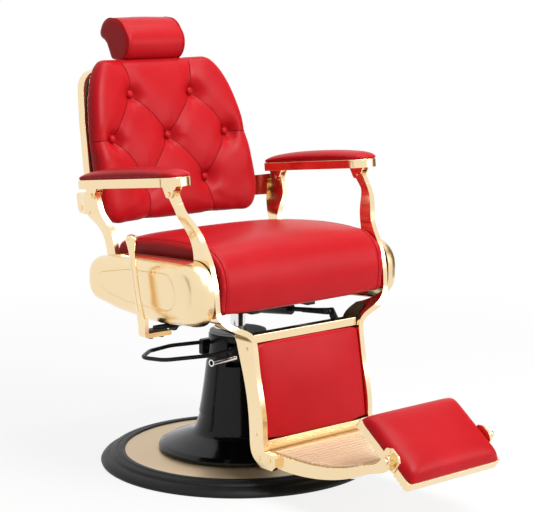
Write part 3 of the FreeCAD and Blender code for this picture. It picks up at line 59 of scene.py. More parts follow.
class Side(Enum):
    """The sitter's right is at minus x, the left at plus x."""

    RIGHT = -1
    LEFT = 1

    @property
    def word(self) -> str:
        """The ending that this side's CAD nodes carry."""
        return self.name.lower()


class Edge(Enum):
    """How wide the rounded edge of a dressed metal or plastic piece is, in metres."""

    SHARP = 0.0
    FINE = 0.0004
    SOFT = 0.0008
    BROAD = 0.0014


def unit(value: float) -> float:
    """A number held between nought and one."""
    return max(0.0, min(1.0, value))


def eased(value: float) -> float:
    """A number held between nought and one, with a soft start and end."""
    share = unit(value)
    return share * share * (3.0 - 2.0 * share)


# Node trees.

class Sock:
    """A shader socket that takes part in arithmetic."""

    def __init__(self, graph: "NodeTree", socket: bpy.types.NodeSocket) -> None:
        """Keeps the graph that new Math nodes go to, and the output that is wrapped."""
        self.graph = graph
        self.socket = socket

    def _math(self, operation: str, first: object, second: object) -> "Sock":
        """Adds one Math node for two numbers or sockets."""
        return self.graph.out(self.graph.node("ShaderNodeMath", {"operation": operation}, {0: first, 1: second}))

    def __add__(self, other: object) -> "Sock":
        """This plus the other."""
        return self._math("ADD", self, other)

    def __sub__(self, other: object) -> "Sock":
        """This minus the other."""
        return self._math("SUBTRACT", self, other)

    def __mul__(self, other: object) -> "Sock":
        """This times the other."""
        return self._math("MULTIPLY", self, other)

    def __truediv__(self, other: object) -> "Sock":
        """This over the other."""
        return self._math("DIVIDE", self, other)

    def __pow__(self, other: object) -> "Sock":
        """This to the power of the other."""
        return self._math("POWER", self, other)

    def clamped(self) -> "Sock":
        """This held between nought and one."""
        return self._math("MAXIMUM", self._math("MINIMUM", self, 1.0), 0.0)


class NodeTree:
    """A node tree whose nodes are all added by one method."""

    def __init__(self, tree: bpy.types.NodeTree) -> None:
        """Keeps the tree."""
        self.tree = tree

    def node(self, kind: str, settings: Optional[dict] = None, values: Optional[dict] = None) -> bpy.types.Node:
        """Adds a node of any type.

        Args:
            kind: The node's type name.
            settings: Its own settings, set first.
            values: Values, or the nodes or sockets to link, for its inputs, by name or number.

        Returns:
            The new node.
        """
        node = self.tree.nodes.new(kind)
        for key, value in (settings or {}).items():
            setattr(node, key, value)
        for key, value in (values or {}).items():
            self.feed(node.inputs[key], value)
        return node

    def feed(self, socket: bpy.types.NodeSocket, value: object) -> None:
        """Links a socket, or a node's first output, to an input, or sets the input's own value.

        Args:
            socket: The input.
            value: A wrapped or plain socket, a node, or a value.
        """
        if isinstance(value, Sock):
            value = value.socket
        elif isinstance(value, bpy.types.Node):
            value = value.outputs[0]
        if isinstance(value, bpy.types.NodeSocket):
            self.tree.links.new(value, socket)
        else:
            socket.default_value = value

    def out(self, node: bpy.types.Node, name: object = 0) -> Sock:
        """The wrapped output of a node, by name or number."""
        return Sock(self, node.outputs[name])


class ShaderGraph(NodeTree):
    """One material's node tree, with a Principled shader at its end."""

    def __init__(self, name: str) -> None:
        """Makes the named material, with its shader, its output and its object coordinates.

        Args:
            name: The material's name.
        """
        self.material = bpy.data.materials.new(name)
        self.material.use_nodes = True
        super().__init__(self.material.node_tree)
        self.tree.nodes.clear()
        self.shader = self.node("ShaderNodeBsdfPrincipled")
        self.end = self.node("ShaderNodeOutputMaterial", None, {0: self.shader})
        self.place = self.out(self.node("ShaderNodeTexCoord"), "Object")

    def noise(self, scale: float, detail: float = 3.0, roughness: float = 0.5) -> Sock:
        """Noise from nought to one on object coordinates.

        Args:
            scale: Patches per metre.
            detail: Octaves.
            roughness: How strong the finer octaves are.

        Returns:
            The noise's value.
        """
        node = self.node("ShaderNodeTexNoise", {"noise_dimensions": "3D"},
                         {"Vector": self.place, "Scale": scale, "Detail": detail, "Roughness": roughness})
        return self.out(node, "Fac")

    def cells(self, scale: float) -> Sock:
        """The distance pattern of a cell texture on object coordinates."""
        return self.out(self.node("ShaderNodeTexVoronoi", None, {"Vector": self.place, "Scale": scale}), "Distance")

    def mixed(self, factor: Sock, first: Colour, second: Colour) -> Sock:
        """A colour between two, by a factor."""
        values = {"Factor": factor, 6: (*first, 1.0), 7: (*second, 1.0)}
        return self.out(self.node("ShaderNodeMix", {"data_type": "RGBA"}, values), 2)

    def bump(self, height: Sock, distance: float, strength: float = 1.0) -> None:
        """Feeds the shader's normal from a height.

        Args:
            height: The height from nought to one.
            distance: The depth in metres of a full step.
            strength: How much of it shows.
        """
        node = self.node("ShaderNodeBump", None, {"Height": height, "Distance": distance, "Strength": strength})
        self.feed(self.shader.inputs["Normal"], self.out(node, "Normal"))

    def surface(self, **values: object) -> None:
        """Sets or links the Principled shader's inputs; underscores stand for spaces in their names."""
        for key, value in values.items():
            self.feed(self.shader.inputs[key.replace("_", " ")], value)


# Finishes.

@dataclass(frozen=True)
class GoldPlating:
    """Polished champagne plating, with faint smudges and the slow ripple of a cast surface."""

    name: str
    slot: str
    bright: Colour = (0.945, 0.765, 0.49)
    deep: Colour = (0.90, 0.695, 0.42)
    roughness: float = 0.13
    ripple: float = 0.00012
    metal: float = 1.0

    def make(self) -> bpy.types.Material:
        """Builds the material.

        Returns:
            The material.
        """
        graph = ShaderGraph(self.name)
        smudge, film = graph.noise(14.0, 4.0, 0.6), graph.noise(3.0, 2.0)
        tone = graph.mixed((film * 1.6 - 0.3).clamped(), self.deep, self.bright)
        graph.surface(Base_Color=tone, Metallic=self.metal,
                      Roughness=(smudge * 0.1 + (self.roughness - 0.05)).clamped())
        graph.bump(graph.noise(28.0, 2.0) * 0.7 + graph.noise(420.0, 2.0) * 0.02, self.ripple, 0.6)
        return graph.material


@dataclass(frozen=True)
class RedLeather:
    """Smooth coated red leather with a fine pebble grain, in paler and darker patches at random."""

    name: str = "red_leather"
    slot: str = "red_upholstery"
    colour: Colour = (0.46, 0.0085, 0.0135)
    shade: Colour = (0.40, 0.0045, 0.0085)
    roughness: float = 0.37
    gleam: float = 0.13

    def make(self) -> bpy.types.Material:
        """Builds the material.

        Returns:
            The material.
        """
        graph = ShaderGraph(self.name)
        cloud = graph.noise(9.0, 3.0, 0.55)
        tone = graph.mixed((cloud * 1.8 - 0.4).clamped(), self.shade, self.colour)
        grain = graph.cells(900.0) * 0.55 + graph.noise(1500.0, 3.0, 0.6) * 0.45
        sheen = graph.noise(60.0, 3.0)
        graph.surface(Base_Color=tone, Roughness=(sheen * 0.1 + (self.roughness - 0.05)).clamped(),
                      Specular_IOR_Level=self.gleam)
        graph.bump(grain + graph.noise(120.0, 2.0) * 0.6, 0.00009, 0.55)
        return graph.material


@dataclass(frozen=True)
class StitchThread:
    """Red sewing thread, a little lighter than the leather."""

    name: str = "red_thread"
    slot: str = "red_upholstery"

    def make(self) -> bpy.types.Material:
        """Builds the material.

        Returns:
            The material.
        """
        graph = ShaderGraph(self.name)
        strand = graph.noise(2400.0, 2.0)
        graph.surface(Base_Color=graph.mixed(strand, (0.30, 0.008, 0.012), (0.50, 0.02, 0.026)), Roughness=0.6)
        graph.bump(strand, 0.0001, 0.6)
        return graph.material


@dataclass(frozen=True)
class BlackRubber:
    """Satin black rubber with a trace of dust."""

    name: str = "satin_rubber"
    slot: str = "black_rubber"
    colour: Colour = (0.013, 0.0135, 0.0145)
    dusty: Colour = (0.022, 0.022, 0.024)

    def make(self) -> bpy.types.Material:
        """Builds the material.

        Returns:
            The material.
        """
        graph = ShaderGraph(self.name)
        dust = (graph.noise(22.0, 5.0, 0.65) * 2.2 - 0.9).clamped()
        graph.surface(Base_Color=graph.mixed(dust, self.colour, self.dusty), Roughness=dust * 0.12 + 0.4,
                      Specular_IOR_Level=0.17)
        graph.bump(graph.noise(900.0, 3.0), 0.00012, 0.5)
        return graph.material


@dataclass(frozen=True)
class GlossShroud:
    """Gloss black moulding under a clear coat."""

    name: str = "gloss_shroud"
    slot: str = "gloss_black_shroud"

    def make(self) -> bpy.types.Material:
        """Builds the material.

        Returns:
            The material.
        """
        graph = ShaderGraph(self.name)
        haze = graph.noise(18.0, 4.0, 0.6)
        graph.surface(Base_Color=graph.mixed(haze, (0.004, 0.004, 0.005), (0.008, 0.008, 0.009)),
                      Roughness=haze * 0.08 + 0.09, Specular_IOR_Level=0.22)
        graph.bump(graph.noise(9.0, 1.0), 0.0002, 0.4)
        return graph.material


@dataclass(frozen=True)
class PaintedSteel:
    """Satin paint on steel, in black or grey."""

    name: str
    slot: str
    colour: Colour
    roughness: float = 0.36

    def make(self) -> bpy.types.Material:
        """Builds the material.

        Returns:
            The material.
        """
        graph = ShaderGraph(self.name)
        wear = graph.noise(40.0, 4.0, 0.6)
        lift = tuple(min(1.0, part * 1.5 + 0.004) for part in self.colour)
        graph.surface(Base_Color=graph.mixed((wear * 1.8 - 0.5).clamped(), self.colour, lift),
                      Roughness=wear * 0.14 + self.roughness - 0.07, Specular_IOR_Level=0.25)
        graph.bump(graph.noise(700.0, 2.0), 0.00006, 0.5)
        return graph.material


@dataclass(frozen=True)
class BrightSteel:
    """Chromed or ground steel, with fine lines round it when ground."""

    name: str
    slot: str
    colour: Colour
    roughness: float

    def make(self) -> bpy.types.Material:
        """Builds the material.

        Returns:
            The material.
        """
        graph = ShaderGraph(self.name)
        film = graph.noise(30.0, 4.0, 0.6)
        lines = graph.noise(1400.0, 2.0)
        graph.surface(Base_Color=graph.mixed(film, self.colour, tuple(part * 0.9 for part in self.colour)),
                      Metallic=1.0, Roughness=film * 0.08 + lines * 0.04 + self.roughness - 0.05)
        graph.bump(lines, 0.00003, 0.4)
        return graph.material


@dataclass(frozen=True)
class StainedBoard:
    """Dark stained plywood, with its grain along x."""

    name: str = "stained_board"
    slot: str = "board"

    def make(self) -> bpy.types.Material:
        """Builds the material.

        Returns:
            The material.
        """
        graph = ShaderGraph(self.name)
        turned = graph.node("ShaderNodeMapping", {"vector_type": "POINT"},
                            {"Vector": graph.place, "Scale": (1.0, 22.0, 22.0)})
        grain = graph.out(graph.node("ShaderNodeTexNoise", None, {"Vector": graph.out(turned), "Scale": 9.0,
                                                                   "Detail": 5.0, "Distortion": 0.6}), "Fac")
        graph.surface(Base_Color=graph.mixed(grain, (0.02, 0.014, 0.011), (0.075, 0.05, 0.035)),
                      Roughness=grain * 0.2 + 0.5)
        graph.bump(grain, 0.0002, 0.5)
        return graph.material


class Finish(Enum):
    """Every finish on the chair."""

    CAST_GOLD = GoldPlating("champagne_castings", "gold_plated_cast")
    PRESSED_GOLD = GoldPlating("champagne_sheet", "gold_plated_steel", ripple=0.00005)
    COVER_GOLD = GoldPlating("champagne_covers", "gold_plated_steel", roughness=0.22, ripple=0.00001)
    SATIN_GOLD = GoldPlating("champagne_satin", "gold_plated_cast", (0.76, 0.625, 0.43), (0.72, 0.57, 0.375), 0.4,
                             0.00004, 0.4)
    # Darker, browner gold for the tread plate between the ribs: painted shade in the grooves.
    GROOVE_SHADE_GOLD = GoldPlating("champagne_groove_painted_shade", "gold_plated_cast", (0.50, 0.35, 0.19), (0.45, 0.30, 0.15), 0.35,
                              0.00004, 0.8)
    DISC_GOLD = GoldPlating("champagne_disc", "gold_plated_steel", (0.86, 0.66, 0.42), (0.84, 0.63, 0.39), 0.4,
                            0.00001, 0.55)
    LEATHER = RedLeather()
    # Near-black red for the thin cords along the back's seams: painted shade in the creases.
    CREASE = RedLeather("crease_shade_leather", "red_upholstery", (0.15, 0.0025, 0.005), (0.11, 0.0015, 0.003), 0.6, 0.1)
    THREAD = StitchThread()
    RUBBER = BlackRubber()
    SHROUD = GlossShroud()
    GREY = PaintedSteel("grey_cap", "grey_cap", (0.27, 0.275, 0.285), 0.4)
    BLACK = PaintedSteel("black_frame", "black_steel", (0.012, 0.012, 0.013))
    CHROME = BrightSteel("chrome", "chrome", (0.82, 0.83, 0.85), 0.09)
    STEEL = BrightSteel("bare_steel", "bare_steel", (0.56, 0.565, 0.58), 0.3)
    BOARD = StainedBoard()

    @property
    def material(self) -> bpy.types.Material:
        """The finish's material, built the first time that it is asked for."""
        found = bpy.data.materials.get(self.value.name)
        return found if found else self.value.make()


# Mesh helpers.

JOIN_GAP = 2e-6
CAD_JOIN_GAP = 3e-6
FLAT_DEGREES = 0.25
BEVEL_DEGREES = 34.0
SHARP_DEGREES = 42.0
ROUND_DEGREES = 60.0
PAD_DEGREES = 75.0
FLAT_WEIGHT = 80


class Opened:
    """A mesh opened for editing, and written back at the end."""

    def __init__(self, mesh: bpy.types.Mesh) -> None:
        """Keeps the mesh."""
        self.mesh = mesh
        self.bm = bmesh.new()

    def __enter__(self) -> bmesh.types.BMesh:
        """Reads the mesh."""
        self.bm.from_mesh(self.mesh)
        return self.bm

    def __exit__(self, *problem: object) -> None:
        """Writes the mesh back."""
        self.bm.to_mesh(self.mesh)
        self.bm.free()


def linked(name: str, data: bpy.types.ID) -> bpy.types.Object:
    """Puts a mesh, camera or lamp into the scene.

    Args:
        name: The object's name.
        data: What it shows.

    Returns:
        The object, at the origin.
    """
    obj = bpy.data.objects.new(name, data)
    bpy.context.scene.collection.objects.link(obj)
    return obj


def mesh_of(name: str, verts: Sequence[Sequence[float]], faces: Sequence[Sequence[int]],
            edges: Sequence[Sequence[int]] = ()) -> bpy.types.Object:
    """An object from plain lists.

    Args:
        name: The object's name.
        verts: Vertex places in metres.
        faces: Vertex numbers of each face.
        edges: Vertex numbers of each loose edge.

    Returns:
        The new object.
    """
    mesh = bpy.data.meshes.new(name)
    mesh.from_pydata([tuple(v) for v in verts], list(edges), list(faces))
    mesh.validate()
    return linked(name, mesh)


def line_guide(name: str, path: Sequence[Sequence[float]]) -> bpy.types.Object:
    """A guide of loose edges from point to point."""
    return mesh_of(name, path, [], [(i, i + 1) for i in range(len(path) - 1)])


def lofted(name: str, rows: Sequence[Sequence[Point]], looped: bool = False, closed: bool = True) -> bpy.types.Object:
    """A surface through rows of points.

    Args:
        name: The object's name.
        rows: Rows with the same number of points.
        looped: Whether the last row joins the first; closed rows that don't are capped at both ends.
        closed: Whether each row's last point joins its first.

    Returns:
        The new object, with its faces outward.
    """
    number, count = len(rows), len(rows[0])
    faces: list[tuple[int, ...]] = []
    for i in range(number if looped else number - 1):
        a, b = i * count, (i + 1) % number * count
        for j in range(count if closed else count - 1):
            k = (j + 1) % count
            faces.append((a + j, a + k, b + k, b + j))
    if closed and not looped:
        faces += [tuple(range(count)), tuple(range((number - 1) * count, number * count))]
    return outward(mesh_of(name, [place for row in rows for place in row], faces))


def turned_solid(name: str, section: Sequence[Flat], steps: int) -> bpy.types.Object:
    """A ring turned about the z axis.

    Args:
        name: The object's name.
        section: The closed section's corners, as radius and height.
        steps: Faces round the ring.

    Returns:
        The new object.
    """
    angles = [math.tau * i / steps for i in range(steps)]
    return lofted(name, [[(r * math.cos(turn), r * math.sin(turn), z) for r, z in section] for turn in angles], True)


def outward(obj: bpy.types.Object) -> bpy.types.Object:
    """Joins double points and turns every face outward.

    Args:
        obj: The object.

    Returns:
        The same object.
    """
    with Opened(obj.data) as bm:
        bmesh.ops.remove_doubles(bm, verts=bm.verts, dist=JOIN_GAP)
        bmesh.ops.recalc_face_normals(bm, faces=bm.faces)
    return obj


def evened(bm: bmesh.types.BMesh, verts: Sequence[bmesh.types.BMVert], times: int) -> None:
    """Evens some points of an opened mesh a number of times."""
    for _ in range(times):
        bmesh.ops.smooth_vert(bm, verts=verts, factor=0.5, use_axis_x=True, use_axis_y=True, use_axis_z=True)


def round_cornered(corners: Sequence[Point], pitch: float) -> list[Flat]:
    """Points at even steps along a closed outline with round corners.

    Args:
        corners: Each corner's two coordinates and its radius.
        pitch: The step between points.

    Returns:
        The points, once round.
    """
    raw: list[Vector] = []
    for i, (across, up, radius) in enumerate(corners):
        here = Vector((across, up))
        back = (Vector(corners[i - 1][:2]) - here).normalized()
        ahead = (Vector(corners[(i + 1) % len(corners)][:2]) - here).normalized()
        half = back.angle(ahead) / 2
        centre = here + (back + ahead).normalized() * (radius / math.sin(half))
        first = here + back * (radius / math.tan(half)) - centre
        last = here + ahead * (radius / math.tan(half)) - centre
        sweep = math.atan2(first.x * last.y - first.y * last.x, first.dot(last))
        parts = max(3, int(abs(sweep) * radius / pitch))
        for j in range(parts + 1):
            turn = sweep * j / parts
            raw.append(centre + Vector((first.x * math.cos(turn) - first.y * math.sin(turn),
                                        first.x * math.sin(turn) + first.y * math.cos(turn))))
    raw.append(raw[0].copy())
    length = sum((b - a).length for a, b in zip(raw, raw[1:]))
    number = round(length / pitch)
    points = []
    index, gone = 0, 0.0
    for i in range(number):
        want = length * i / number
        while gone + (raw[index + 1] - raw[index]).length < want:
            gone += (raw[index + 1] - raw[index]).length
            index += 1
        run = raw[index + 1] - raw[index]
        place = raw[index] + run * ((want - gone) / run.length if run.length else 0.0)
        points.append((place.x, place.y))
    return points


def corners_of(node: str) -> tuple[Vector, Vector]:
    """The lowest and highest corner of a CAD node's box."""
    low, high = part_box(node)
    return Vector(low), Vector(high)


def merged_copy(node: str, name: str) -> bpy.types.Object:
    """A copy of a CAD node with its loose triangles joined and its flat faces made whole.

    Args:
        node: The CAD node's name.
        name: The new object's name.

    Returns:
        The copy, at the origin.
    """
    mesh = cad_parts[node].data.copy()
    mesh.materials.clear()
    with Opened(mesh) as bm:
        bmesh.ops.remove_doubles(bm, verts=bm.verts, dist=CAD_JOIN_GAP)
        bmesh.ops.dissolve_limit(bm, angle_limit=math.radians(FLAT_DEGREES), verts=bm.verts, edges=bm.edges)
    return linked(name, mesh)


def baked(obj: bpy.types.Object) -> bpy.types.Object:
    """Applies an object's modifiers to its mesh.

    Args:
        obj: The object with live modifiers.

    Returns:
        The same object, with a plain mesh and no modifier.
    """
    graph = bpy.context.evaluated_depsgraph_get()
    graph.update()
    mesh = bpy.data.meshes.new_from_object(obj.evaluated_get(graph), preserve_all_data_layers=True, depsgraph=graph)
    obj.modifiers.clear()
    obj.data = mesh
    return obj


def smooth_shaded(obj: bpy.types.Object, degrees: float) -> None:
    """Shades an object smooth.

    Args:
        obj: The object.
        degrees: The angle above which an edge stays sharp.
    """
    obj.data.polygons.foreach_set("use_smooth", [True] * len(obj.data.polygons))
    obj.data.set_sharp_from_angle(angle=math.radians(degrees))
    obj.data.update()


def edge_rounded(obj: bpy.types.Object, edge: Edge, segments: int = 2) -> bpy.types.Object:
    """Rounds the sharp edges of a hard piece and keeps its flats flat.

    Args:
        obj: The piece.
        edge: The width of the round.
        segments: Faces across the round.

    Returns:
        The same object with its mesh made plain.
    """
    if edge is not Edge.SHARP:
        bevel = obj.modifiers.new("rounded edges", "BEVEL")
        bevel.width = edge.value
        bevel.segments = segments
        bevel.limit_method = "ANGLE"
        bevel.angle_limit = math.radians(BEVEL_DEGREES)
        bevel.use_clamp_overlap = True
        baked(obj)
    smooth_shaded(obj, SHARP_DEGREES)
    weigh = obj.modifiers.new("flat faces first", "WEIGHTED_NORMAL")
    weigh.keep_sharp = True
    weigh.weight = FLAT_WEIGHT
    return baked(obj)


def painted(obj: bpy.types.Object, finish: Finish) -> bpy.types.Object:
    """Gives a piece one finish all over.

    Args:
        obj: The piece.
        finish: Its finish.

    Returns:
        The same object.
    """
    obj.data.materials.clear()
    obj.data.materials.append(finish.material)
    obj.data.polygons.foreach_set("material_index", [0] * len(obj.data.polygons))
    return obj


def surface_tree(obj: bpy.types.Object) -> BVHTree:
    """A search tree over an object's faces."""
    return BVHTree.FromPolygons([v.co.copy() for v in obj.data.vertices], [p.vertices[:] for p in obj.data.polygons])


def section_path(tree: BVHTree, x: float, centre: Flat, start: float, end: float,
                 steps: int, lift: float) -> list[Vector]:
    """The line that a plane of constant x cuts on a pad, found by rays from a centre.

    Args:
        tree: The pad's search tree.
        x: The plane's place.
        centre: The rays' start in y and z.
        start: The first ray's angle in degrees, from minus y towards plus z.
        end: The last ray's angle.
        steps: The number of gaps between rays.
        lift: How far out of the surface the line lies.

    Returns:
        Points along the line.
    """
    points = []
    for i in range(steps + 1):
        angle = math.radians(start + (end - start) * i / steps)
        way = Vector((0.0, -math.cos(angle), math.sin(angle)))
        hit = tree.ray_cast(Vector((x, *centre)), way, 1.0)[0]
        if hit is not None:
            points.append(hit + way * lift)
    return points


# Geometry node recipes.

class Recipe(NodeTree):
    """A geometry node tree that turns a guide mesh into what repeats along or over it."""

    def __init__(self, name: str) -> None:
        """Opens the tree with its guide input and its result output.

        Args:
            name: The tree's name.
        """
        super().__init__(bpy.data.node_groups.new(name, "GeometryNodeTree"))
        for side, label in (("INPUT", "Guide"), ("OUTPUT", "Result")):
            self.tree.interface.new_socket(name=label, in_out=side, socket_type="NodeSocketGeometry")
        self.entry = self.node("NodeGroupInput")
        self.names: dict[str, str] = {}

    def size(self, name: str, value: float) -> bpy.types.NodeSocket:
        """Adds a named size input.

        Args:
            name: Its name.
            value: Its usual value.

        Returns:
            Its socket inside the tree.
        """
        socket = self.tree.interface.new_socket(name=name, in_out="INPUT", socket_type="NodeSocketFloat")
        socket.default_value = value
        self.names[name] = socket.identifier
        return self.entry.outputs[name]

    def guide(self) -> bpy.types.NodeSocket:
        """The guide's geometry inside the tree."""
        return self.entry.outputs["Guide"]

    def curve(self, settings: Optional[dict], **values: object) -> bpy.types.Node:
        """The guide's edges as a curve with even points."""
        line = self.node("GeometryNodeMeshToCurve", None, {0: self.guide()})
        return self.node("GeometryNodeResampleCurve", settings, {"Curve": line, **values})

    def sized(self, across: object, along: object, up: object) -> bpy.types.Node:
        """A vector from three sizes."""
        return self.node("ShaderNodeCombineXYZ", None, {0: across, 1: along, 2: up})

    def turned(self, way: bpy.types.Node, settings: dict) -> bpy.types.Node:
        """A turn of one axis, as the settings say, to a direction."""
        return self.node("FunctionNodeAlignRotationToVector", settings, {"Vector": way})

    def spread(self, points: bpy.types.Node, shape: bpy.types.Node, **values: object) -> bpy.types.Node:
        """A shape at each point."""
        return self.node("GeometryNodeInstanceOnPoints", None, {"Points": points, "Instance": shape, **values})

    def close(self, geometry: bpy.types.Node, finish: Finish) -> None:
        """Ends the tree in Realize Instances and Set Material.

        Args:
            geometry: The node whose output the tree has made.
            finish: The finish of all of it.
        """
        real = self.node("GeometryNodeRealizeInstances", None, {"Geometry": geometry})
        smooth = self.node("GeometryNodeSetShadeSmooth", None, {"Geometry": real})
        dressed = self.node("GeometryNodeSetMaterial", None, {"Geometry": smooth, "Material": finish.material})
        self.node("NodeGroupOutput", None, {0: dressed})

    def made_on(self, guide: bpy.types.Object, name: str, **sizes: float) -> bpy.types.Object:
        """Runs the tree on a guide and keeps the result as a plain mesh.

        Args:
            guide: The guide object, which becomes the piece.
            name: The piece's name.
            **sizes: Values for the named inputs.

        Returns:
            The piece.
        """
        modifier = guide.modifiers.new(self.tree.name, "NODES")
        modifier.node_group = self.tree
        for key, value in sizes.items():
            modifier[self.names[key]] = value
        guide.name = name
        return baked(guide)


def welt_recipe(finish: Finish) -> Recipe:
    """A round cord along the guide's edges: the covered welt in a seam.

    Args:
        finish: The cord's finish.

    Returns:
        The recipe, with a size "radius".
    """
    recipe = Recipe("welt along a seam")
    radius = recipe.size("radius", 0.002)
    ring = recipe.node("GeometryNodeCurvePrimitiveCircle", None, {"Resolution": 10, "Radius": radius})
    tube = recipe.node("GeometryNodeCurveToMesh", None,
                       {"Curve": recipe.curve(None, Count=240), "Profile Curve": ring, "Fill Caps": True})
    recipe.close(tube, finish)
    return recipe


def stitch_recipe() -> Recipe:
    """Short raised stitches along the guide's edges.

    Returns:
        The recipe, with sizes "pitch" and "radius".
    """
    recipe = Recipe("stitches along a seam")
    pitch, radius = recipe.size("pitch", 0.005), recipe.size("radius", 0.0005)
    half = recipe.node("ShaderNodeMath", {"operation": "MULTIPLY"}, {0: pitch, 1: 0.36})
    bead = recipe.node("GeometryNodeMeshIcoSphere", None, {"Radius": 1.0, "Subdivisions": 1})
    turn = recipe.turned(recipe.node("GeometryNodeInputTangent"), {"axis": "Z"})
    recipe.close(recipe.spread(recipe.curve({"mode": "LENGTH"}, Length=pitch), bead, Rotation=turn,
                               Scale=recipe.sized(radius, radius, half)), Finish.THREAD)
    return recipe


def rib_recipe() -> Recipe:
    """Bars across a tread, one at each step along the guide.

    Returns:
        The recipe, with sizes "pitch", "length", "width" and "height".
    """
    recipe = Recipe("ribs along the tread")
    pitch, length = recipe.size("pitch", 0.017), recipe.size("length", 0.31)
    width, height = recipe.size("width", 0.0095), recipe.size("height", 0.006)
    bar = recipe.node("GeometryNodeMeshCube", None, {"Size": recipe.sized(length, width, height)})
    turn = recipe.turned(recipe.node("GeometryNodeInputTangent"), {"axis": "Y", "pivot_axis": "X"})
    recipe.close(recipe.spread(recipe.curve({"mode": "LENGTH"}, Length=pitch), bar, Rotation=turn), Finish.CAST_GOLD)
    return recipe


def button_recipe() -> Recipe:
    """A domed, leather-covered button at each point, its rise along the point's "aim".

    Returns:
        The recipe, with sizes "radius" and "rise".
    """
    recipe = Recipe("covered buttons")
    radius, rise = recipe.size("radius", 0.011), recipe.size("rise", 0.0065)
    dome = recipe.node("GeometryNodeMeshUVSphere", None, {"Segments": 28, "Rings": 16, "Radius": 1.0})
    flat = recipe.node("GeometryNodeTransform", None, {"Geometry": dome, "Scale": recipe.sized(radius, radius, rise)})
    aim = recipe.node("GeometryNodeInputNamedAttribute", {"data_type": "FLOAT_VECTOR"}, {"Name": "aim"})
    points = recipe.node("GeometryNodeMeshToPoints", None, {"Mesh": recipe.guide()})
    recipe.close(recipe.spread(points, flat, Rotation=recipe.turned(aim, {"axis": "Z"})), Finish.LEATHER)
    return recipe


def aimed_spots(name: str, spots: Sequence[tuple[Vector, Vector]]) -> bpy.types.Object:
    """Loose points that carry the direction in which each one's instance faces.

    Args:
        name: The object's name.
        spots: Places with their directions.

    Returns:
        The guide object.
    """
    guide = mesh_of(name, [place for place, _ in spots], [])
    aim = guide.data.attributes.new("aim", "FLOAT_VECTOR", "POINT")
    for i, (_, way) in enumerate(spots):
        aim.data[i].vector = way
    return guide


# Pads.

@dataclass(frozen=True)
class Cover:
    """The cloth that every pad is covered with, and how it is swelled.

    Attributes:
        mass: The mass of a point.
        pull: The stiffness against stretch and squeeze.
        shear: The stiffness against shear.
        bend: The stiffness against bending.
        pressure: The pressure inside.
        quality: Steps in a frame.
        frames: How many frames it swells for.
    """

    mass: float = 0.3
    pull: float = 12.0
    shear: float = 6.0
    bend: float = 6.0
    pressure: float = 4.0
    quality: int = 4
    frames: int = 20

    def laid_on(self, obj: bpy.types.Object, held: str) -> None:
        """Gives an object the cloth, with the points of one group held.

        Args:
            obj: The object.
            held: The group's name.
        """
        cloth = obj.modifiers.new("swell", "CLOTH")
        values = {
            "quality": self.quality, "mass": self.mass, "tension_stiffness": self.pull,
            "compression_stiffness": self.pull, "shear_stiffness": self.shear, "bending_stiffness": self.bend,
            "use_pressure": True, "uniform_pressure_force": self.pressure, "vertex_group_mass": held,
        }
        for key, value in values.items():
            setattr(cloth.settings, key, value)
        cloth.settings.effector_weights.gravity = 0.0
        cloth.collision_settings.use_collision = False
        cloth.point_cache.frame_start = 1
        cloth.point_cache.frame_end = self.frames


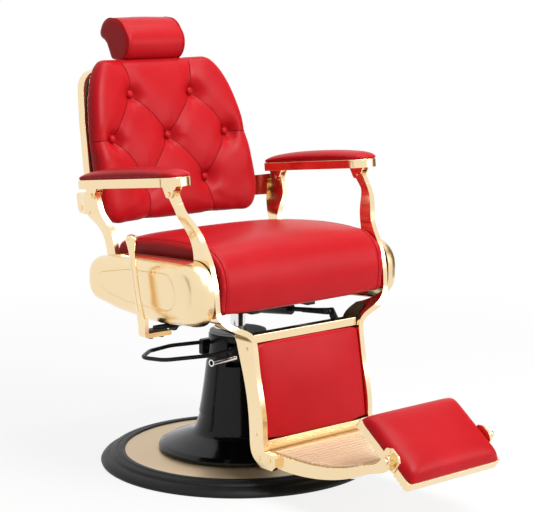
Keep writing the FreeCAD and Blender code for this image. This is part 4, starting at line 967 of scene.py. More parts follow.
@dataclass
class Pad:
    """A stuffed and covered cushion, swelled by cloth simulation from its CAD solid.

    Attributes:
        name: The piece's name.
        node: The CAD node it stands for.
        body: The CAD body it rides on.
        voxel: The size of its remesh.
        cap: The furthest that a point may swell.
        held: Tells which points are held, from a point and its normal.
        shaped: Moves the points before the swelling, for a cover that is fuller than its solid.
        fill: How full it is; not used.
        inset: How far it is drawn in before it swells.
        evened: How often its points are evened before the swelling.
        calmed: How often the loose points are evened after the swelling, against folds.
        cover: Its cloth.
    """

    name: str
    node: str
    body: str
    voxel: float
    cap: float
    held: Callable[[Vector, Vector], bool]
    shaped: Callable[[Vector], Vector]
    fill: float = 0.9
    inset: float = 0.0
    evened: int = 3
    calmed: int = 12
    cover: Cover = Cover()

    def start(self) -> bpy.types.Object:
        """Copies the CAD solid, remeshes it in even faces, and evens and shapes it.

        Returns:
            The object.
        """
        obj = merged_copy(self.node, self.name)
        remesh = obj.modifiers.new("even faces", "REMESH")
        remesh.mode = "VOXEL"
        remesh.voxel_size = self.voxel
        baked(obj)
        with Opened(obj.data) as bm:
            evened(bm, bm.verts, self.evened)
            for vert in bm.verts:
                vert.co = self.shaped(vert.co)
            bm.normal_update()
            if self.inset:
                moves = [(v, v.normal * -self.inset) for v in bm.verts if not self.held(v.co, v.normal)]
                for vert, move in moves:
                    vert.co += move
        return obj

    def swell(self, obj: bpy.types.Object) -> None:
        """Swells the cushion with pressure, with some points held and none moved further than the cap.

        Args:
            obj: The remeshed cushion.
        """
        mesh = obj.data
        rest = [v.co.copy() for v in mesh.vertices]
        group = obj.vertex_groups.new(name="held")
        group.add([v.index for v in mesh.vertices if self.held(v.co, v.normal)], 1.0, "REPLACE")
        self.cover.laid_on(obj, group.name)
        scene = bpy.context.scene
        for number in range(1, self.cover.frames + 1):
            scene.frame_set(number)
        swollen = obj.evaluated_get(bpy.context.evaluated_depsgraph_get()).data
        moved = []
        for old, new in zip(rest, swollen.vertices):
            step = new.co - old
            moved.append(old + (step.normalized() * self.cap if step.length > self.cap else step))
        obj.modifiers.clear()
        scene.frame_set(1)
        for vert, place in zip(mesh.vertices, moved):
            vert.co = place
        obj.vertex_groups.clear()

    def made(self, depth_at: Optional[Callable[[Vector, Vector], float]] = None) -> BVHTree:
        """Swells the cushion, presses its seams in, paints it and lets it stand for its CAD node.

        Args:
            depth_at: The depth that is pressed in at a point with a normal; minus raises.

        Returns:
            A search tree over its surface.
        """
        obj = self.start()
        self.swell(obj)
        with Opened(obj.data) as bm:
            bm.normal_update()
            evened(bm, [vert for vert in bm.verts if not self.held(vert.co, vert.normal)], self.calmed)
            evened(bm, bm.verts, 1)
        finer = obj.modifiers.new("finer", "SUBSURF")
        finer.levels = finer.render_levels = 1
        baked(obj)
        if depth_at:
            moves = [(v.index, v.normal.copy(), depth_at(v.co, v.normal)) for v in obj.data.vertices]
            for index, normal, depth in moves:
                if depth:
                    obj.data.vertices[index].co -= normal * depth
            obj.data.update()
        tree = surface_tree(obj)
        smooth_shaded(obj, PAD_DEGREES)
        painted(obj, Finish.LEATHER)
        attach(obj, self.body)
        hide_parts(self.node)
        log.info("%s: %d faces", obj.name, len(obj.data.polygons))
        return tree


def channel(distance: float, depth: float, width: float) -> float:
    """The depth of a sewn channel at a distance from its line."""
    return depth * eased(1.0 - distance / width)


def line_distance(point: Flat, line: Sequence[Flat]) -> float:
    """The least distance in the plane from a point to a line of points.

    Args:
        point: The point.
        line: The line's points.

    Returns:
        The distance.
    """
    best = 1e9
    px, pz = point
    for (ax, az), (bx, bz) in zip(line, line[1:]):
        dx, dz = bx - ax, bz - az
        share = unit(((px - ax) * dx + (pz - az) * dz) / (dx * dx + dz * dz))
        best = min(best, math.hypot(px - ax - dx * share, pz - az - dz * share))
    return best


# Sub-assemblies.

@dataclass
class Assembly:
    """What every sub-assembly can do: dress a CAD node as a finer piece.

    Attributes:
        body: The CAD body that its pieces ride on.
    """

    body: str

    def skinned(self, node: str, finish: Finish, edge: Edge = Edge.SOFT, segments: int = 2) -> bpy.types.Object:
        """Dresses one CAD node with rounded edges and a finish.

        Args:
            node: The CAD node.
            finish: Its finish.
            edge: The width of its rounded edges.
            segments: Faces across each round.

        Returns:
            The piece that stands for the node.
        """
        return self.joined(edge_rounded(merged_copy(node, node + "_skin"), edge, segments), finish, node)

    def joined(self, obj: bpy.types.Object, finish: Finish, *nodes: str) -> bpy.types.Object:
        """Paints a piece, lets it ride and stand for its nodes, and reports it.

        Args:
            obj: The piece.
            finish: Its finish.
            *nodes: The CAD nodes that it stands for.

        Returns:
            The same object.
        """
        painted(obj, finish)
        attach(obj, self.body)
        if nodes:
            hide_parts(*nodes)
        log.info("%s: %d faces", obj.name, len(obj.data.polygons))
        return obj

    def welted(self, name: str, path: Sequence[Sequence[float]], radius: float,
               finish: Finish = Finish.LEATHER) -> None:
        """Args:
            name: The cord's name.
            path: The points that it runs through.
            radius: Its radius.
            finish: Its finish.
        """
        cord = welt_recipe(finish).made_on(line_guide("welt_guide", path), name, radius=radius)
        self.joined(cord, finish)


@dataclass
class Base(Assembly):
    """The rubber ring, the plated disc and the hub.

    Attributes:
        ring_inner: The rubber ring's inner radius.
        lip: The ring's section from its inner edge over both grooves, outward from there and down from the top.
        shoulder: The section's next points, inward from the outer radius and down from the top.
        foot: Its last points, inward from the outer radius and up from the floor.
    """

    body: str = "base"
    ring_inner: float = 0.2885
    lip: tuple[Flat, ...] = (
        (0.0, 0.004), (0.003, 0.0008), (0.006, 0.0), (0.014, 0.0), (0.0165, 0.001), (0.018, 0.0032), (0.020, 0.0032),
        (0.0215, 0.0015), (0.034, 0.0045), (0.0355, 0.0055), (0.037, 0.0097), (0.039, 0.0102), (0.0405, 0.0095),
    )
    shoulder: tuple[Flat, ...] = ((0.010, 0.0165), (0.005, 0.0195), (0.0015, 0.024))
    foot: tuple[Flat, ...] = ((0.0, 0.006), (0.0015, 0.0015), (0.004, 0.0))

    def ring(self) -> None:
        """The moulded rubber ring: an inner lip, two grooves and a rounded outer edge."""
        high = corners_of("rubber_ring")[1]
        section = [(self.ring_inner, 0.0)]
        section += [(self.ring_inner + out, high.z - down) for out, down in self.lip]
        section += [(high.x - back, high.z - down) for back, down in self.shoulder]
        section += [(high.x - back, up) for back, up in self.foot]
        obj = turned_solid("rubber_ring_skin", section, 160)
        smooth_shaded(obj, ROUND_DEGREES)
        self.joined(obj, Finish.RUBBER, "rubber_ring")

    def build(self) -> None:
        """Dresses the base."""
        self.ring()
        self.skinned("base_plate", Finish.DISC_GOLD)
        self.skinned("base_hub", Finish.BLACK)
        self.skinned("swivel_bearing", Finish.STEEL, Edge.FINE)
        self.skinned("hub_bolts", Finish.STEEL, Edge.FINE)


@dataclass
class PumpTower(Assembly):
    """The pump, its flared shroud and the tower with its panel and cap."""

    body: str = "pump_unit"

    def build(self) -> None:
        """Dresses the tower."""
        self.skinned("pump_cylinder", Finish.BLACK, Edge.FINE)
        self.skinned("dome_cover", Finish.SHROUD)
        self.skinned("tower_cover", Finish.SHROUD, Edge.FINE)
        self.skinned("tower_side_panel", Finish.SHROUD, Edge.SOFT, 3)
        self.skinned("tower_cap", Finish.GREY)


@dataclass
class PumpLever(Assembly):
    """The looped foot lever, its yoke and the chromed stub."""

    body: str = "pump_lever"

    def build(self) -> None:
        """Dresses the lever."""
        self.skinned("pump_lever", Finish.BLACK, Edge.SHARP)
        self.skinned("lever_yoke", Finish.BLACK)
        self.skinned("lever_stub", Finish.CHROME, Edge.FINE)


@dataclass
class SeatUnit(Assembly):
    """The piston, the seat's steel and the seat cushion.

    Attributes:
        half: Half the cushion's width.
        flank: How far in from each side the cushion is held.
        seam_x: How far from the middle the side seams run.
        centre: The middle of the cushion's side view, in y and z.
        underside: Below this height the cushion is held.
        rear: Behind this y it is held.
        crown: How much higher than the CAD cushion the crown is.
        crown_foot: The height from which the cover is raised.
        crown_rise: Over what height it reaches its full crown.
        welt_radius: The welt's radius.
    """

    body: str = "seat"
    half: float = 0.260
    flank: float = 0.012
    seam_x: float = 0.2445
    centre: Flat = (-0.09, 0.505)
    underside: float = 0.452
    rear: float = 0.13
    crown: float = 0.0075
    crown_foot: float = 0.50
    crown_rise: float = 0.075
    welt_radius: float = 0.0021

    def held(self, place: Vector, normal: Vector) -> bool:
        """The underside, the flat sides and the back are held."""
        low = place.z < self.underside and normal.z < 0.2
        return low or abs(place.x) > self.half - self.flank or place.y > self.rear

    def filled(self, place: Vector) -> Vector:
        """A point of the seat moved so that the crown is higher."""
        return place + Vector((0.0, 0.0, self.crown * eased((place.z - self.crown_foot) / self.crown_rise)))

    def sewn(self, place: Vector, normal: Vector) -> float:
        """The side seams' channels, which end at the underside and at the rear.

        Args:
            place: A point of the cover.
            normal: Its normal.

        Returns:
            The depth there.
        """
        if normal.z < -0.5 or place.y > 0.155:
            return 0.0
        return channel(abs(abs(place.x) - self.seam_x), 0.0022, 0.0065)

    def cushion(self) -> None:
        """The cushion with a sewn side seam, a welt along it and stitches beside it."""
        pad = Pad("seat_pad", "seat_cushion", self.body, 0.006, 0.009, self.held, self.filled, inset=0.001, evened=4)
        tree = pad.made(self.sewn)
        for side in Side:
            path = section_path(tree, side.value * self.seam_x, self.centre, -48.0, 158.0, 150, 0.0004)
            self.welted(f"seat_welt_{side.word}", path, self.welt_radius)
            path = section_path(tree, side.value * (self.seam_x - 0.008), self.centre, -46.0, 156.0, 150, 0.0001)
            stitches = stitch_recipe().made_on(line_guide("stitch_guide", path), f"seat_stitches_{side.word}",
                                               pitch=0.0055, radius=0.00055)
            self.joined(stitches, Finish.THREAD)

    def build(self) -> None:
        """Dresses the seat."""
        self.skinned("piston", Finish.CHROME, Edge.FINE)
        self.skinned("seat_mount", Finish.BLACK)
        self.skinned("seat_frame", Finish.BLACK)
        self.skinned("seat_board", Finish.BOARD)
        self.skinned("side_plates", Finish.BLACK)
        self.skinned("pivot_pins", Finish.PRESSED_GOLD, Edge.FINE)
        self.cushion()


@dataclass
class SideCover(Assembly):
    """One long pressed cover over the linkage, swelling outward from its rim, with a raised field.

    Attributes:
        side: The side of the chair.
        rim: The outline's corners in y and z, with their radii.
        field: The raised field's corners, with their radii.
        spine: The ends of the line along which the cover is flat.
        reach: How far in from the rim the cover reaches its full depth.
        fullness: The power that shapes its swell; 2 is round.
        rise: How far the field stands out.
        step: The width of the field's sloping edge.
        sheet: The thickness of its sheet.
        rings: Faces from the rim to the field's edge.
        inside: Faces from there to the spine.
    """

    body: str = "seat"
    side: Side = Side.RIGHT
    rim: tuple[Point, ...] = (
        (-0.170, 0.563, 0.200), (-0.256, 0.567, 0.068), (-0.251, 0.414, 0.060), (-0.060, 0.400, 0.400),
        (0.090, 0.410, 0.400), (0.209, 0.430, 0.046), (0.206, 0.528, 0.046), (0.060, 0.553, 0.300),
    )
    field: tuple[Point, ...] = (
        (0.136, 0.502, 0.014), (0.020, 0.523, 0.200), (-0.165, 0.533, 0.043), (-0.165, 0.441, 0.043),
        (0.020, 0.443, 0.200), (0.100, 0.453, 0.060), (0.136, 0.470, 0.020),
    )
    spine: tuple[Flat, Flat] = ((-0.135, 0.487), (0.112, 0.484))
    reach: float = 0.048
    fullness: float = 2.6
    rise: float = 0.0013
    step: float = 0.0022
    sheet: float = 0.0022
    rings: int = 26
    inside: int = 10

    def anchor(self, place: Vector) -> Vector:
        """Finds the nearest place on the spine.

        Args:
            place: A place in y and z.

        Returns:
            The spine's place.
        """
        start, end = Vector(self.spine[0]), Vector(self.spine[1])
        run = end - start
        return start + run * unit((place - start).dot(run) / run.dot(run))

    def crossing(self, place: Vector, middle: Vector, outline: Sequence[Flat]) -> float:
        """How far along the way from a rim point to the spine the field's edge is crossed.

        Args:
            place: The rim point.
            middle: The spine's point.
            outline: The field's outline.

        Returns:
            The distance from the rim.
        """
        run = middle - place
        for (ay, az), (by, bz) in zip(outline, list(outline[1:]) + [outline[0]]):
            dy, dz = by - ay, bz - az
            cross = run.x * dz - run.y * dy
            if abs(cross) < 1e-12:
                continue
            share = ((ay - place.x) * dz - (az - place.y) * dy) / cross
            along = ((ay - place.x) * run.y - (az - place.y) * run.x) / cross
            if 0.0 <= share <= 1.0 and -1e-5 <= along <= 1.00001:
                return share * run.length
        return 0.4 * run.length

    def depth(self, inward: float) -> float:
        """How much of the full depth the cover has at a distance from its rim."""
        left = 1.0 - min(inward / self.reach, 1.0)
        return (1.0 - left ** self.fullness) ** (1.0 / self.fullness)

    def lift(self, past: float) -> float:
        """How far the surface stands out at a distance past the field's edge: a groove first, then the field."""
        share = unit(past / self.step)
        return self.rise * share if share >= 0.6 else -self.rise * min(1.0, share * 3.0)

    def build(self) -> None:
        """Builds the cover as rows from its rim to its spine, close together on the field's edge."""
        node = f"side_cover_{self.side.word}"
        low, high = corners_of(node)
        inner, outer = sorted((abs(low.x), abs(high.x)))
        full = outer - self.rise - inner
        field = round_cornered(self.field, 0.003)
        rows: list[list[Point]] = []
        for y, z in round_cornered(self.rim, 0.005):
            place = Vector((y, z))
            middle = self.anchor(place)
            span = (middle - place).length
            edge = self.crossing(place, middle, field)
            last = edge + self.step
            ways = [edge * (i / self.rings) ** 1.6 for i in range(self.rings + 1)]
            ways += [edge + self.step * part for part in (0.33, 0.67, 1.0)]
            ways += [last + (span - last) * i / self.inside for i in range(1, self.inside + 1)]
            row: list[Point] = []
            for inward in ways:
                spot = place + (middle - place) * (inward / span)
                out = inner + full * self.depth(inward) + self.lift(inward - edge)
                row.append((self.side.value * out, spot.x, spot.y))
            rows.append(row)
        obj = lofted(node + "_shell", rows, looped=True, closed=False)
        if sum(face.normal.x * self.side.value for face in obj.data.polygons) < 0:
            obj.data.flip_normals()
        sheet = obj.modifiers.new("sheet", "SOLIDIFY")
        sheet.thickness = self.sheet
        sheet.offset = -1.0
        baked(obj)
        smooth_shaded(obj, ROUND_DEGREES)
        self.joined(obj, Finish.COVER_GOLD, node)


@dataclass
class LegRest(Assembly):
    """The front castings, the calf pad and the ribbed tread.

    Attributes:
        rail_inner: The inner face of the rails, from the middle.
        pad_top: The calf pad's top height.
        pad_low: The calf pad's lowest height.
        pad_edge: How far in from its edge the calf pad is held.
        pad_middle: The y of the calf pad's middle at its top, and how far further ahead it is at its foot.
        pad_ahead: How far forward the cover's face is moved at its top, and how much further at its foot.
        bar: The stepped bar's face, back from its front and down from its top.
        bar_ahead: How far the stepped bar stands before the CAD bar, flush with the pad.
        tread: The tread's edge line in y and z.
        tread_depth: The tread's thickness.
        ribbed_from: How far ahead of the chair's middle the ribs begin.
    """

    body: str = "legrest"
    rail_inner: float = 0.164
    pad_top: float = 0.364
    pad_low: float = 0.137
    pad_edge: float = 0.008
    pad_middle: Flat = (-0.262, 0.022)
    pad_ahead: Flat = (0.0100, 0.0130)
    bar: tuple[Flat, ...] = (
        (0.0035, 0.0), (0.0015, 0.001), (0.0012, 0.0045), (0.0034, 0.0056), (0.0034, 0.0072), (0.0009, 0.0084),
        (0.0006, 0.0112), (0.003, 0.0122), (0.003, 0.0138), (0.0002, 0.015), (0.0, 0.0186),
    )
    bar_ahead: float = 0.0135
    tread: tuple[Flat, ...] = (
        (-0.2845, 0.1172), (-0.2875, 0.1172), (-0.2895, 0.1128), (-0.300, 0.112), (-0.346, 0.112), (-0.401, 0.112),
        (-0.449, 0.1135), (-0.495, 0.1175), (-0.541, 0.1255), (-0.585, 0.137), (-0.608, 0.1448),
    )
    tread_depth: float = 0.011
    ribbed_from: float = 0.324

    def held(self, place: Vector, normal: Vector) -> bool:
        """The calf pad's rim and rear are held."""
        rim = abs(place.x) > self.rail_inner - self.pad_edge or place.z > self.pad_top - self.pad_edge
        return rim or place.z < self.pad_low + self.pad_edge or normal.y > 0.3

    def calf_pad(self) -> None:
        """The flat, taut pad that fills the frame from rail to rail."""
        low, high = corners_of("calf_cushion")
        wider = (self.rail_inner - 0.0004) / high.x

        def filled(place: Vector) -> Vector:
            """Fills the frame: out to the rails and, on the face, forward.

            Args:
                place: A point of the solid.

            Returns:
                The cover's point.
            """
            down = (high.z - place.z) / (high.z - low.z)
            front = place.y < self.pad_middle[0] - self.pad_middle[1] * down + 0.016
            forward = self.pad_ahead[0] + self.pad_ahead[1] * down if front else 0.0
            return Vector((place.x * wider, place.y - forward, place.z))

        Pad("calf_pad", "calf_cushion", self.body, 0.0045, 0.004, self.held, filled, fill=0.8, evened=2).made()

    def moulding(self) -> None:
        """The stepped bar under the calf pad, as a section drawn from rail to rail."""
        low, high = corners_of("calf_bottom_bar")
        front, base = low.y - self.bar_ahead, self.tread[-6][1] + 0.0005
        section = [(front + back, high.z - down) for back, down in self.bar]
        section += [(front + 0.002, base), (high.y, base), (high.y, high.z)]
        bar = lofted("stepped_bar", [[(x, y, z) for y, z in section] for x in (low.x, high.x)])
        self.joined(edge_rounded(bar, Edge.FINE), Finish.CAST_GOLD, "calf_bottom_bar")

    def tread_plate(self) -> None:
        """The tread's curved plate, with its ribs from geometry nodes."""
        half = self.rail_inner - 0.006
        parts = 6
        line = [(ay + (by - ay) * i / parts, az + (bz - az) * i / parts)
                for (ay, az), (by, bz) in zip(self.tread, self.tread[1:]) for i in range(parts)] + [self.tread[-1]]
        rows = [[(x, y, z - drop) for x, drop in ((-half, 0.0), (half, 0.0), (half, self.tread_depth),
                                                  (-half, self.tread_depth))] for y, z in line]
        # The plate between the ribs gets a darker gold: painted shade in the grooves.
        self.joined(edge_rounded(lofted("tread_plate", rows), Edge.SOFT), Finish.GROOVE_SHADE_GOLD, "footplate")
        guide = line_guide("rib_guide", [(0.0, y, z + 0.0008) for y, z in line if -y > self.ribbed_from])
        ribs = rib_recipe().made_on(guide, "tread_ribs", pitch=0.0165, length=2 * half - 0.0006, width=0.0128,
                                    height=0.0062)
        self.joined(edge_rounded(ribs, Edge.BROAD, 3), Finish.SATIN_GOLD)

    def build(self) -> None:
        """Dresses the leg rest."""
        for side in Side:
            self.skinned(f"front_casting_{side.word}", Finish.CAST_GOLD)
        self.skinned("calf_top_bar", Finish.PRESSED_GOLD, Edge.BROAD, 3)
        self.calf_pad()
        self.skinned("calf_board", Finish.BOARD)
        self.moulding()
        self.tread_plate()
        self.skinned("foot_walls", Finish.CAST_GOLD, Edge.SOFT, 3)
        self.skinned("glides", Finish.CHROME, Edge.SOFT, 3)
        self.skinned("rail_bolts", Finish.PRESSED_GOLD, Edge.FINE)
        self.skinned("lock_link", Finish.BLACK)


@dataclass
class FootPad(Assembly):
    """The pad that turns over in front of the tread.

    Attributes:
        pivot: The pivot in y and z.
        slope: The pad's slope at rest, in degrees.
        crown: How high the cover's middle stands.
        wider: How far the cover reaches past its solid at each side.
        longer: How far it reaches past it at each end.
    """

    body: str = "foot_pad"
    pivot: Flat = (-0.695, 0.1755)
    slope: float = 36.4
    crown: float = 0.005
    wider: float = 0.003
    longer: float = 0.0025

    def held(self, place: Vector, normal: Vector) -> bool:
        """The part of the pad inside its tray is held."""
        angle = math.radians(self.slope)
        return (place.z - self.pivot[1]) * math.cos(angle) - (place.y - self.pivot[0]) * math.sin(angle) < 0.0015

    def build(self) -> None:
        """Dresses the foot pad, whose cover is crowned and meets its frame's edge."""
        self.skinned("foot_pad_frame", Finish.PRESSED_GOLD, Edge.SOFT, 3)
        self.skinned("foot_pad_trunnions", Finish.CAST_GOLD)
        low, high = corners_of("foot_pad_cushion")
        angle = math.radians(self.slope)
        way = Vector((0.0, -math.cos(angle), -math.sin(angle)))
        face = Vector((0.0, -math.sin(angle), math.cos(angle)))

        def filled(place: Vector) -> Vector:
            """Crowns the cover and lengthens it.

            Args:
                place: A point of the solid.

            Returns:
                The cover's point.
            """
            across = min(1.0, abs(place.x) / high.x)
            off = place - (low + high) / 2
            along = max(-1.0, min(1.0, off.dot(way) / 0.1))
            crown = unit(off.dot(face) / 0.008) * (1.0 - across ** 4) * (1.0 - along ** 4) * self.crown
            out = place + face * crown
            out.x *= 1.0 + self.wider / high.x
            return out + way * (self.longer * along)

        Pad("foot_pad_cover", "foot_pad_cushion", self.body, 0.0045, 0.008, self.held, filled, fill=0.85, evened=5,
            calmed=24).made()


@dataclass
class BackRest(Assembly):
    """The rear castings, the plated rim and the buttoned back pad.

    Attributes:
        half: Half the back's width.
        low: The back's lowest height.
        high: Its highest.
        spread: How far out the upper and lower buttons are.
        wide: How far out the middle row's outer buttons are.
        rows: The heights of the three rows.
        pillow: How far the cover rises between its seams, and over what distance from them.
        dimple: How deep it sinks at a button, and over what distance.
        crease: How deep it sinks along a seam, and over what distance.
        corner: How much narrower than its solid the cover is at its top, as a share.
        crest: How much higher it is there.
    """

    body: str = "backrest"
    half: float = 0.254
    low: float = 0.598
    high: float = 0.997
    spread: float = 0.0976
    wide: float = 0.183
    rows: tuple[float, float, float] = (0.692, 0.806, 0.9135)
    pillow: Flat = (0.005, 0.026)
    dimple: Flat = (0.0095, 0.024)
    crease: Flat = (0.0012, 0.0055)
    corner: float = 0.055
    crest: float = 0.0095

    def buttons(self) -> list[Flat]:
        """Sets out the buttons.

        Returns:
            Their places in x and z.
        """
        low, middle, high = self.rows
        return [(-self.spread, high), (self.spread, high), (-self.wide, middle), (0.0, middle), (self.wide, middle),
                (-self.spread, low), (self.spread, low)]

    def seam(self, start: Flat, end: Flat, bow: float) -> list[Flat]:
        """A slightly bowed seam between two places.

        Args:
            start: The first place in x and z.
            end: The last place.
            bow: How far it bows to the left of its way.

        Returns:
            Points along the seam.
        """
        run = (end[0] - start[0], end[1] - start[1])
        steps = 12
        points = []
        for i in range(steps + 1):
            share = i / steps
            swing = 4 * share * (1 - share) * bow / math.hypot(*run)
            points.append((start[0] + run[0] * share - run[1] * swing, start[1] + run[1] * share + run[0] * swing))
        return points

    def seams(self) -> list[list[Flat]]:
        """Sets out every seam on the back's face.

        Returns:
            The seams' points in x and z.
        """
        low, middle, high = self.rows
        lines = []
        for side in (-1.0, 1.0):
            top, mid, bottom = (side * self.spread, high), (side * self.wide, middle), (side * self.spread, low)
            runs = (
                (top, (side * (self.spread + 0.012), self.high - 0.001), 0.004),
                (top, (0.0, middle), -0.005),
                (top, mid, 0.007),
                (mid, (side * (self.half + 0.02), middle - 0.006), 0.003),
                (mid, bottom, -0.005),
                ((0.0, middle), bottom, 0.005),
                (bottom, (side * (self.spread + 0.014), self.low + 0.004), -0.005),
            )
            lines += [self.seam(start, end, side * bow) for start, end, bow in runs]
        return lines

    def filled(self, place: Vector) -> Vector:
        """A point of the back pad moved so that its top is higher and its upper corners rounder."""
        up = unit((place.z - 0.82) / 0.177) ** 2
        return Vector((place.x * (1.0 - self.corner * up), place.y, place.z + self.crest * up))

    def pad(self) -> None:
        """The back pad: swelled between its seams, then dimpled, with thin dark cords on the seams as painted shade
        in their creases.
        """
        lines = self.seams()
        spots = self.buttons()

        def fading(gap: float, sizes: Flat) -> float:
            """A depth that fades over a distance."""
            return sizes[0] * math.exp(-(gap / sizes[1]) ** 2)

        def button_gap(place: Vector) -> float:
            """The distance to the nearest button."""
            return min(math.dist((place.x, place.z), spot) for spot in spots)

        def held(place: Vector, normal: Vector) -> bool:
            """The rear and the places under the buttons are held."""
            return normal.y > -0.05 or button_gap(place) < 0.011

        def depth(place: Vector, normal: Vector) -> float:
            """Sinks the creases and dimples and raises the pillows between them.

            Args:
                place: A point of the cover.
                normal: Its normal.

            Returns:
                The depth there.
            """
            if normal.y > -0.1:
                return 0.0
            lobe = min(line_distance((place.x, place.z), line) for line in lines)
            front = unit(-normal.y * 1.5 - 0.2)
            pillow = fading(lobe, self.pillow) - self.pillow[0]
            return (fading(lobe, self.crease) + pillow) * front + fading(button_gap(place), self.dimple)

        tree = Pad("back_pad", "back_cushion", self.body, 0.005, 0.012, held, self.filled, fill=0.85, evened=6,
                   calmed=10).made(depth)

        def on_face(x: float, z: float) -> Optional[Vector]:
            """The place on the pad's face at an x and z."""
            return tree.ray_cast(Vector((x, -0.2, z)), Vector((0, 1, 0)), 1.0)[0]

        for number, line in enumerate(lines):
            path: list[Vector] = []
            for (ax, az), (bx, bz) in zip(line, line[1:]):
                for i in range(5):
                    hit = on_face(ax + (bx - ax) * i / 5, az + (bz - az) * i / 5)
                    if hit is not None and (not path or (hit - path[-1]).length < 0.02):
                        path.append(hit - Vector((0.0, 0.0001, 0.0)))
            # A thin dark cord along each seam: painted shade in its crease.
            self.welted(f"back_crease_{number}", path, 0.00085, Finish.CREASE)
        slope = Vector((0.0, -1.0, 0.2)).normalized()
        guide = aimed_spots("button_spots", [(on_face(x, z) + slope * 0.0036, slope) for x, z in spots])
        row = button_recipe().made_on(guide, "back_button_row", radius=0.0108, rise=0.0078)
        self.joined(row, Finish.LEATHER, "back_buttons")

    def build(self) -> None:
        """Dresses the back rest."""
        for side in Side:
            self.skinned(f"rear_casting_{side.word}", Finish.CAST_GOLD)
        self.skinned("back_frame", Finish.PRESSED_GOLD)
        self.skinned("back_board", Finish.BOARD)
        self.pad()
        self.skinned("back_bolts", Finish.PRESSED_GOLD, Edge.FINE)
        self.skinned("headrest_guide", Finish.BLACK)


@dataclass
class HeadRest(Assembly):
    """The headrest pad with its end panels, its plate and post.

    Attributes:
        half: Half the pad's width.
        centre: The middle of its side view, in y and z.
        droop: How much lower than its solid the cover's underside is.
        seam_in: How far in from its ends the seams are pressed.
        welt_in: How far in the welts lie.
    """

    body: str = "headrest"
    half: float = 0.094
    centre: Flat = (0.386, 1.052)
    droop: float = 0.0035
    seam_in: float = 0.0085
    welt_in: float = 0.0045

    def held(self, place: Vector, normal: Vector) -> bool:
        """The end panels and the hollow behind are held."""
        return abs(place.x) > self.half - 0.008 or (normal.y > 0.35 and place.z < 1.07)

    def filled(self, place: Vector) -> Vector:
        """A point of the headrest moved so that its underside reaches down to the back."""
        return place - Vector((0.0, 0.0, self.droop * unit((self.centre[1] - place.z) / 0.04) ** 2))

    def sewn(self, place: Vector, normal: Vector) -> float:
        """The depth of the end seams' channels."""
        return channel(abs(abs(place.x) - (self.half - self.seam_in)), 0.0013, 0.0035)

    def build(self) -> None:
        """Dresses the headrest."""
        tree = Pad("headrest_pad", "headrest_cushion", self.body, 0.0042, 0.006, self.held, self.filled,
                   fill=0.95).made(self.sewn)
        for side in Side:
            path = section_path(tree, side.value * (self.half - self.welt_in), self.centre, -70.0, 190.0, 120, 0.0003)
            self.welted(f"headrest_welt_{side.word}", path, 0.0019)
        self.skinned("headrest_plate", Finish.PRESSED_GOLD)
        Assembly("headrest_post").skinned("headrest_post", Finish.PRESSED_GOLD, Edge.FINE)


@dataclass
class ArmRest(Assembly):
    """One armrest: a plated tray, its pad and its forks.

    Attributes:
        side: The side of the chair.
        rim_front: The height of the tray's rim at its front.
        front: The y of that place.
        slope: The rim's fall towards the rear, in radians.
        wider: How far the cover reaches past its solid at each side.
        longer: How far it reaches past it at each end.
        crown: How high it is in its middle, as a share of its solid's height.
        end_fall: How much lower it is at its ends, as a share.
        side_fall: How much lower it is at its sides.
    """

    body: str = "armrest_right"
    side: Side = Side.RIGHT
    rim_front: float = 0.7605
    front: float = -0.167
    slope: float = math.atan2(0.0335, 0.313)
    wider: float = 0.0036
    longer: float = 0.0048
    crown: float = 1.04
    end_fall: float = 0.42
    side_fall: float = 0.16

    def rim(self, place: Vector) -> float:
        """The height of the tray's rim at a place."""
        return self.rim_front - (place.y - self.front) * math.tan(self.slope)

    def held(self, place: Vector, normal: Vector) -> bool:
        """What lies in the tray is held."""
        return place.z < self.rim(place) + 0.002

    def build(self) -> None:
        """Dresses the armrest, whose cover meets the trim's edge and falls away to its ends."""
        word = self.side.word
        self.skinned(f"arm_trim_{word}", Finish.PRESSED_GOLD, Edge.FINE)
        low, high = corners_of(f"arm_pad_{word}")
        middle, half = (low + high) / 2, (high - low) / 2

        def filled(place: Vector) -> Vector:
            """Widens the cover above the tray and lowers its ends.

            Args:
                place: A point of the solid.

            Returns:
                The cover's point.
            """
            rim = self.rim(place)
            above = place.z - rim
            if above <= 0.0:
                return place
            off = place - middle
            share = min(1.0, above / 0.003)
            along, across = min(1.0, abs(off.y) / half.y), min(1.0, abs(off.x) / half.x)
            crown = self.crown * (1.0 - self.end_fall * along ** 2.6 - self.side_fall * across ** 2)
            return Vector((place.x + off.x * self.wider * share / half.x,
                           place.y + off.y * self.longer * share / half.y, rim + above * crown))

        Pad(f"armrest_pad_{word}", f"arm_pad_{word}", self.body, 0.0042, 0.0045, self.held, filled).made()
        self.skinned(f"arm_fork_{word}", Finish.CAST_GOLD)
        self.skinned(f"arm_pins_{word}", Finish.PRESSED_GOLD, Edge.FINE)


